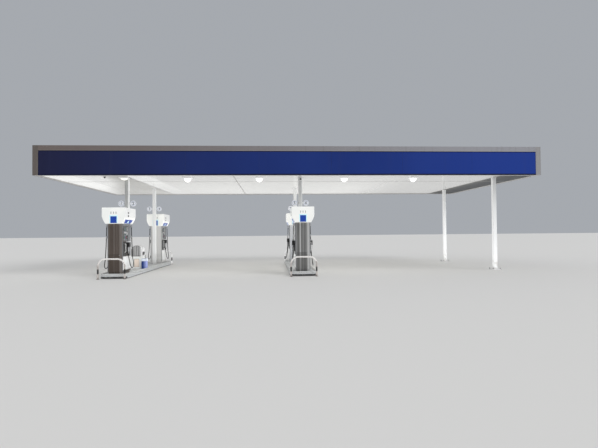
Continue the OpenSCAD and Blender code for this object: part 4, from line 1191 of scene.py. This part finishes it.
# The ribs follow the folds of the hood, and a rubber lip edges each mouth
low, high = hood_low, hood_high
x, y = centre("bin_hood").xy
hood_r, facets = (high.x - low.x) / 2, 12
side_z = low.z + 0.23
fold_r = hood_r / math.cos(math.pi / facets)
folds = [math.pi * (i + 0.5) / (facets / 2) for i in range(facets // 2)]
fold = [(-hood_r, low.z + 0.004), (-hood_r, side_z),
        *[(-fold_r * math.cos(a), side_z + fold_r * math.sin(a)) for a in folds],
        (hood_r, side_z), (hood_r, low.z + 0.004)]
parts = []
for dy, line in ((-0.212, fold), (-0.16, fold), (0.16, fold), (0.212, fold),
                 (-0.10, fold[2:-2]), (-0.035, fold[2:-2]), (0.035, fold[2:-2]), (0.10, fold[2:-2])):
    parts.append(tube([(x + out, y + dy, up) for out, up in line], 0.008, rib_bright, sides=3))
for dx in (-0.17, -0.102, -0.034, 0.034, 0.102, 0.17):
    rib_top = side_z + math.sqrt(hood_r ** 2 - dx ** 2) - 0.02
    for face in (low.y, high.y):
        parts += turnings(x + dx, face, [(rib_bright, low.z + 0.03, rib_top, 0.011, 0.011, 0.002, 12)])
mouth_low, mouth_high, mouth_half, lip = low.z + 0.05, low.z + 0.18, 0.15, 0.008
for side in (-1, 1):
    face = x + side * hood_r
    out = (face - side * 0.012, face + side * 0.003)
    for z in (mouth_low, mouth_high - lip):
        parts.append(slab(0, out, (y - mouth_half, y + mouth_half), (z, z + lip), rubber, 0.002))
    for lip_y in (y - mouth_half, y + mouth_half - lip):
        parts.append(slab(0, out, (lip_y, lip_y + lip), (mouth_low, mouth_high), rubber, 0.002))
mount(join("hood_ribs", parts), "bin_steel")

# Washer bucket and squeegee
# A moulded bucket of washer fluid stands beside the bin: blue, paler towards one side, with a white
# collar, a carrying bail and a squeegee that leans in it, of a black handle, foam head and rubber blade.
low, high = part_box("washer_bucket")
bucket_blue, point = coat("bucket_blue")
# The blue is paler towards +x.
clear = (point.axis(0) + 0.02 * point.noise(12, 3)).span(low.x + 0.05, high.x)
lay(bucket_blue, Base_Color=clear.blend((0.006, 0.035, 0.19, 1), (0.30, 0.36, 0.72, 1)),
    Roughness=0.3 + 0.2 * point.noise(25))
collar_white = plain("collar_white", (20, 3), (0.74, 0.80, 0.92, 1), (0.84, 0.88, 0.95, 1), (0.3, 0.1, 40))
dress("bucket_blue", bucket_blue, "washer_bucket")
dress("squeegee_black", guard_plastic, "squeegee")
middle = (low + high) / 2
half = (high.x - low.x) / 2
collar_h, collar_t, bail_r, bail_z = 0.11, 0.007, half + 0.004, high.z - 0.02
parts = []
for side in (-1, 1):
    for way in (0, 1):
        face = middle[1 - way] + side * half
        parts.append(slab(way, (middle[way] - half - collar_t, middle[way] + half + collar_t),
                          (face - collar_t, face + collar_t), (high.z - collar_h, high.z),
                          collar_white, 0.003))
bail = [(-bail_r * math.cos(math.radians(12 * i)), 0.09 * math.sin(math.radians(12 * i))) for i in range(16)]
parts.append(tube([(middle.x + out, middle.y, bail_z + up) for out, up in bail], 0.004, cast_metal, sides=3))
mount(join("bucket_collar", parts), "bucket_blue")
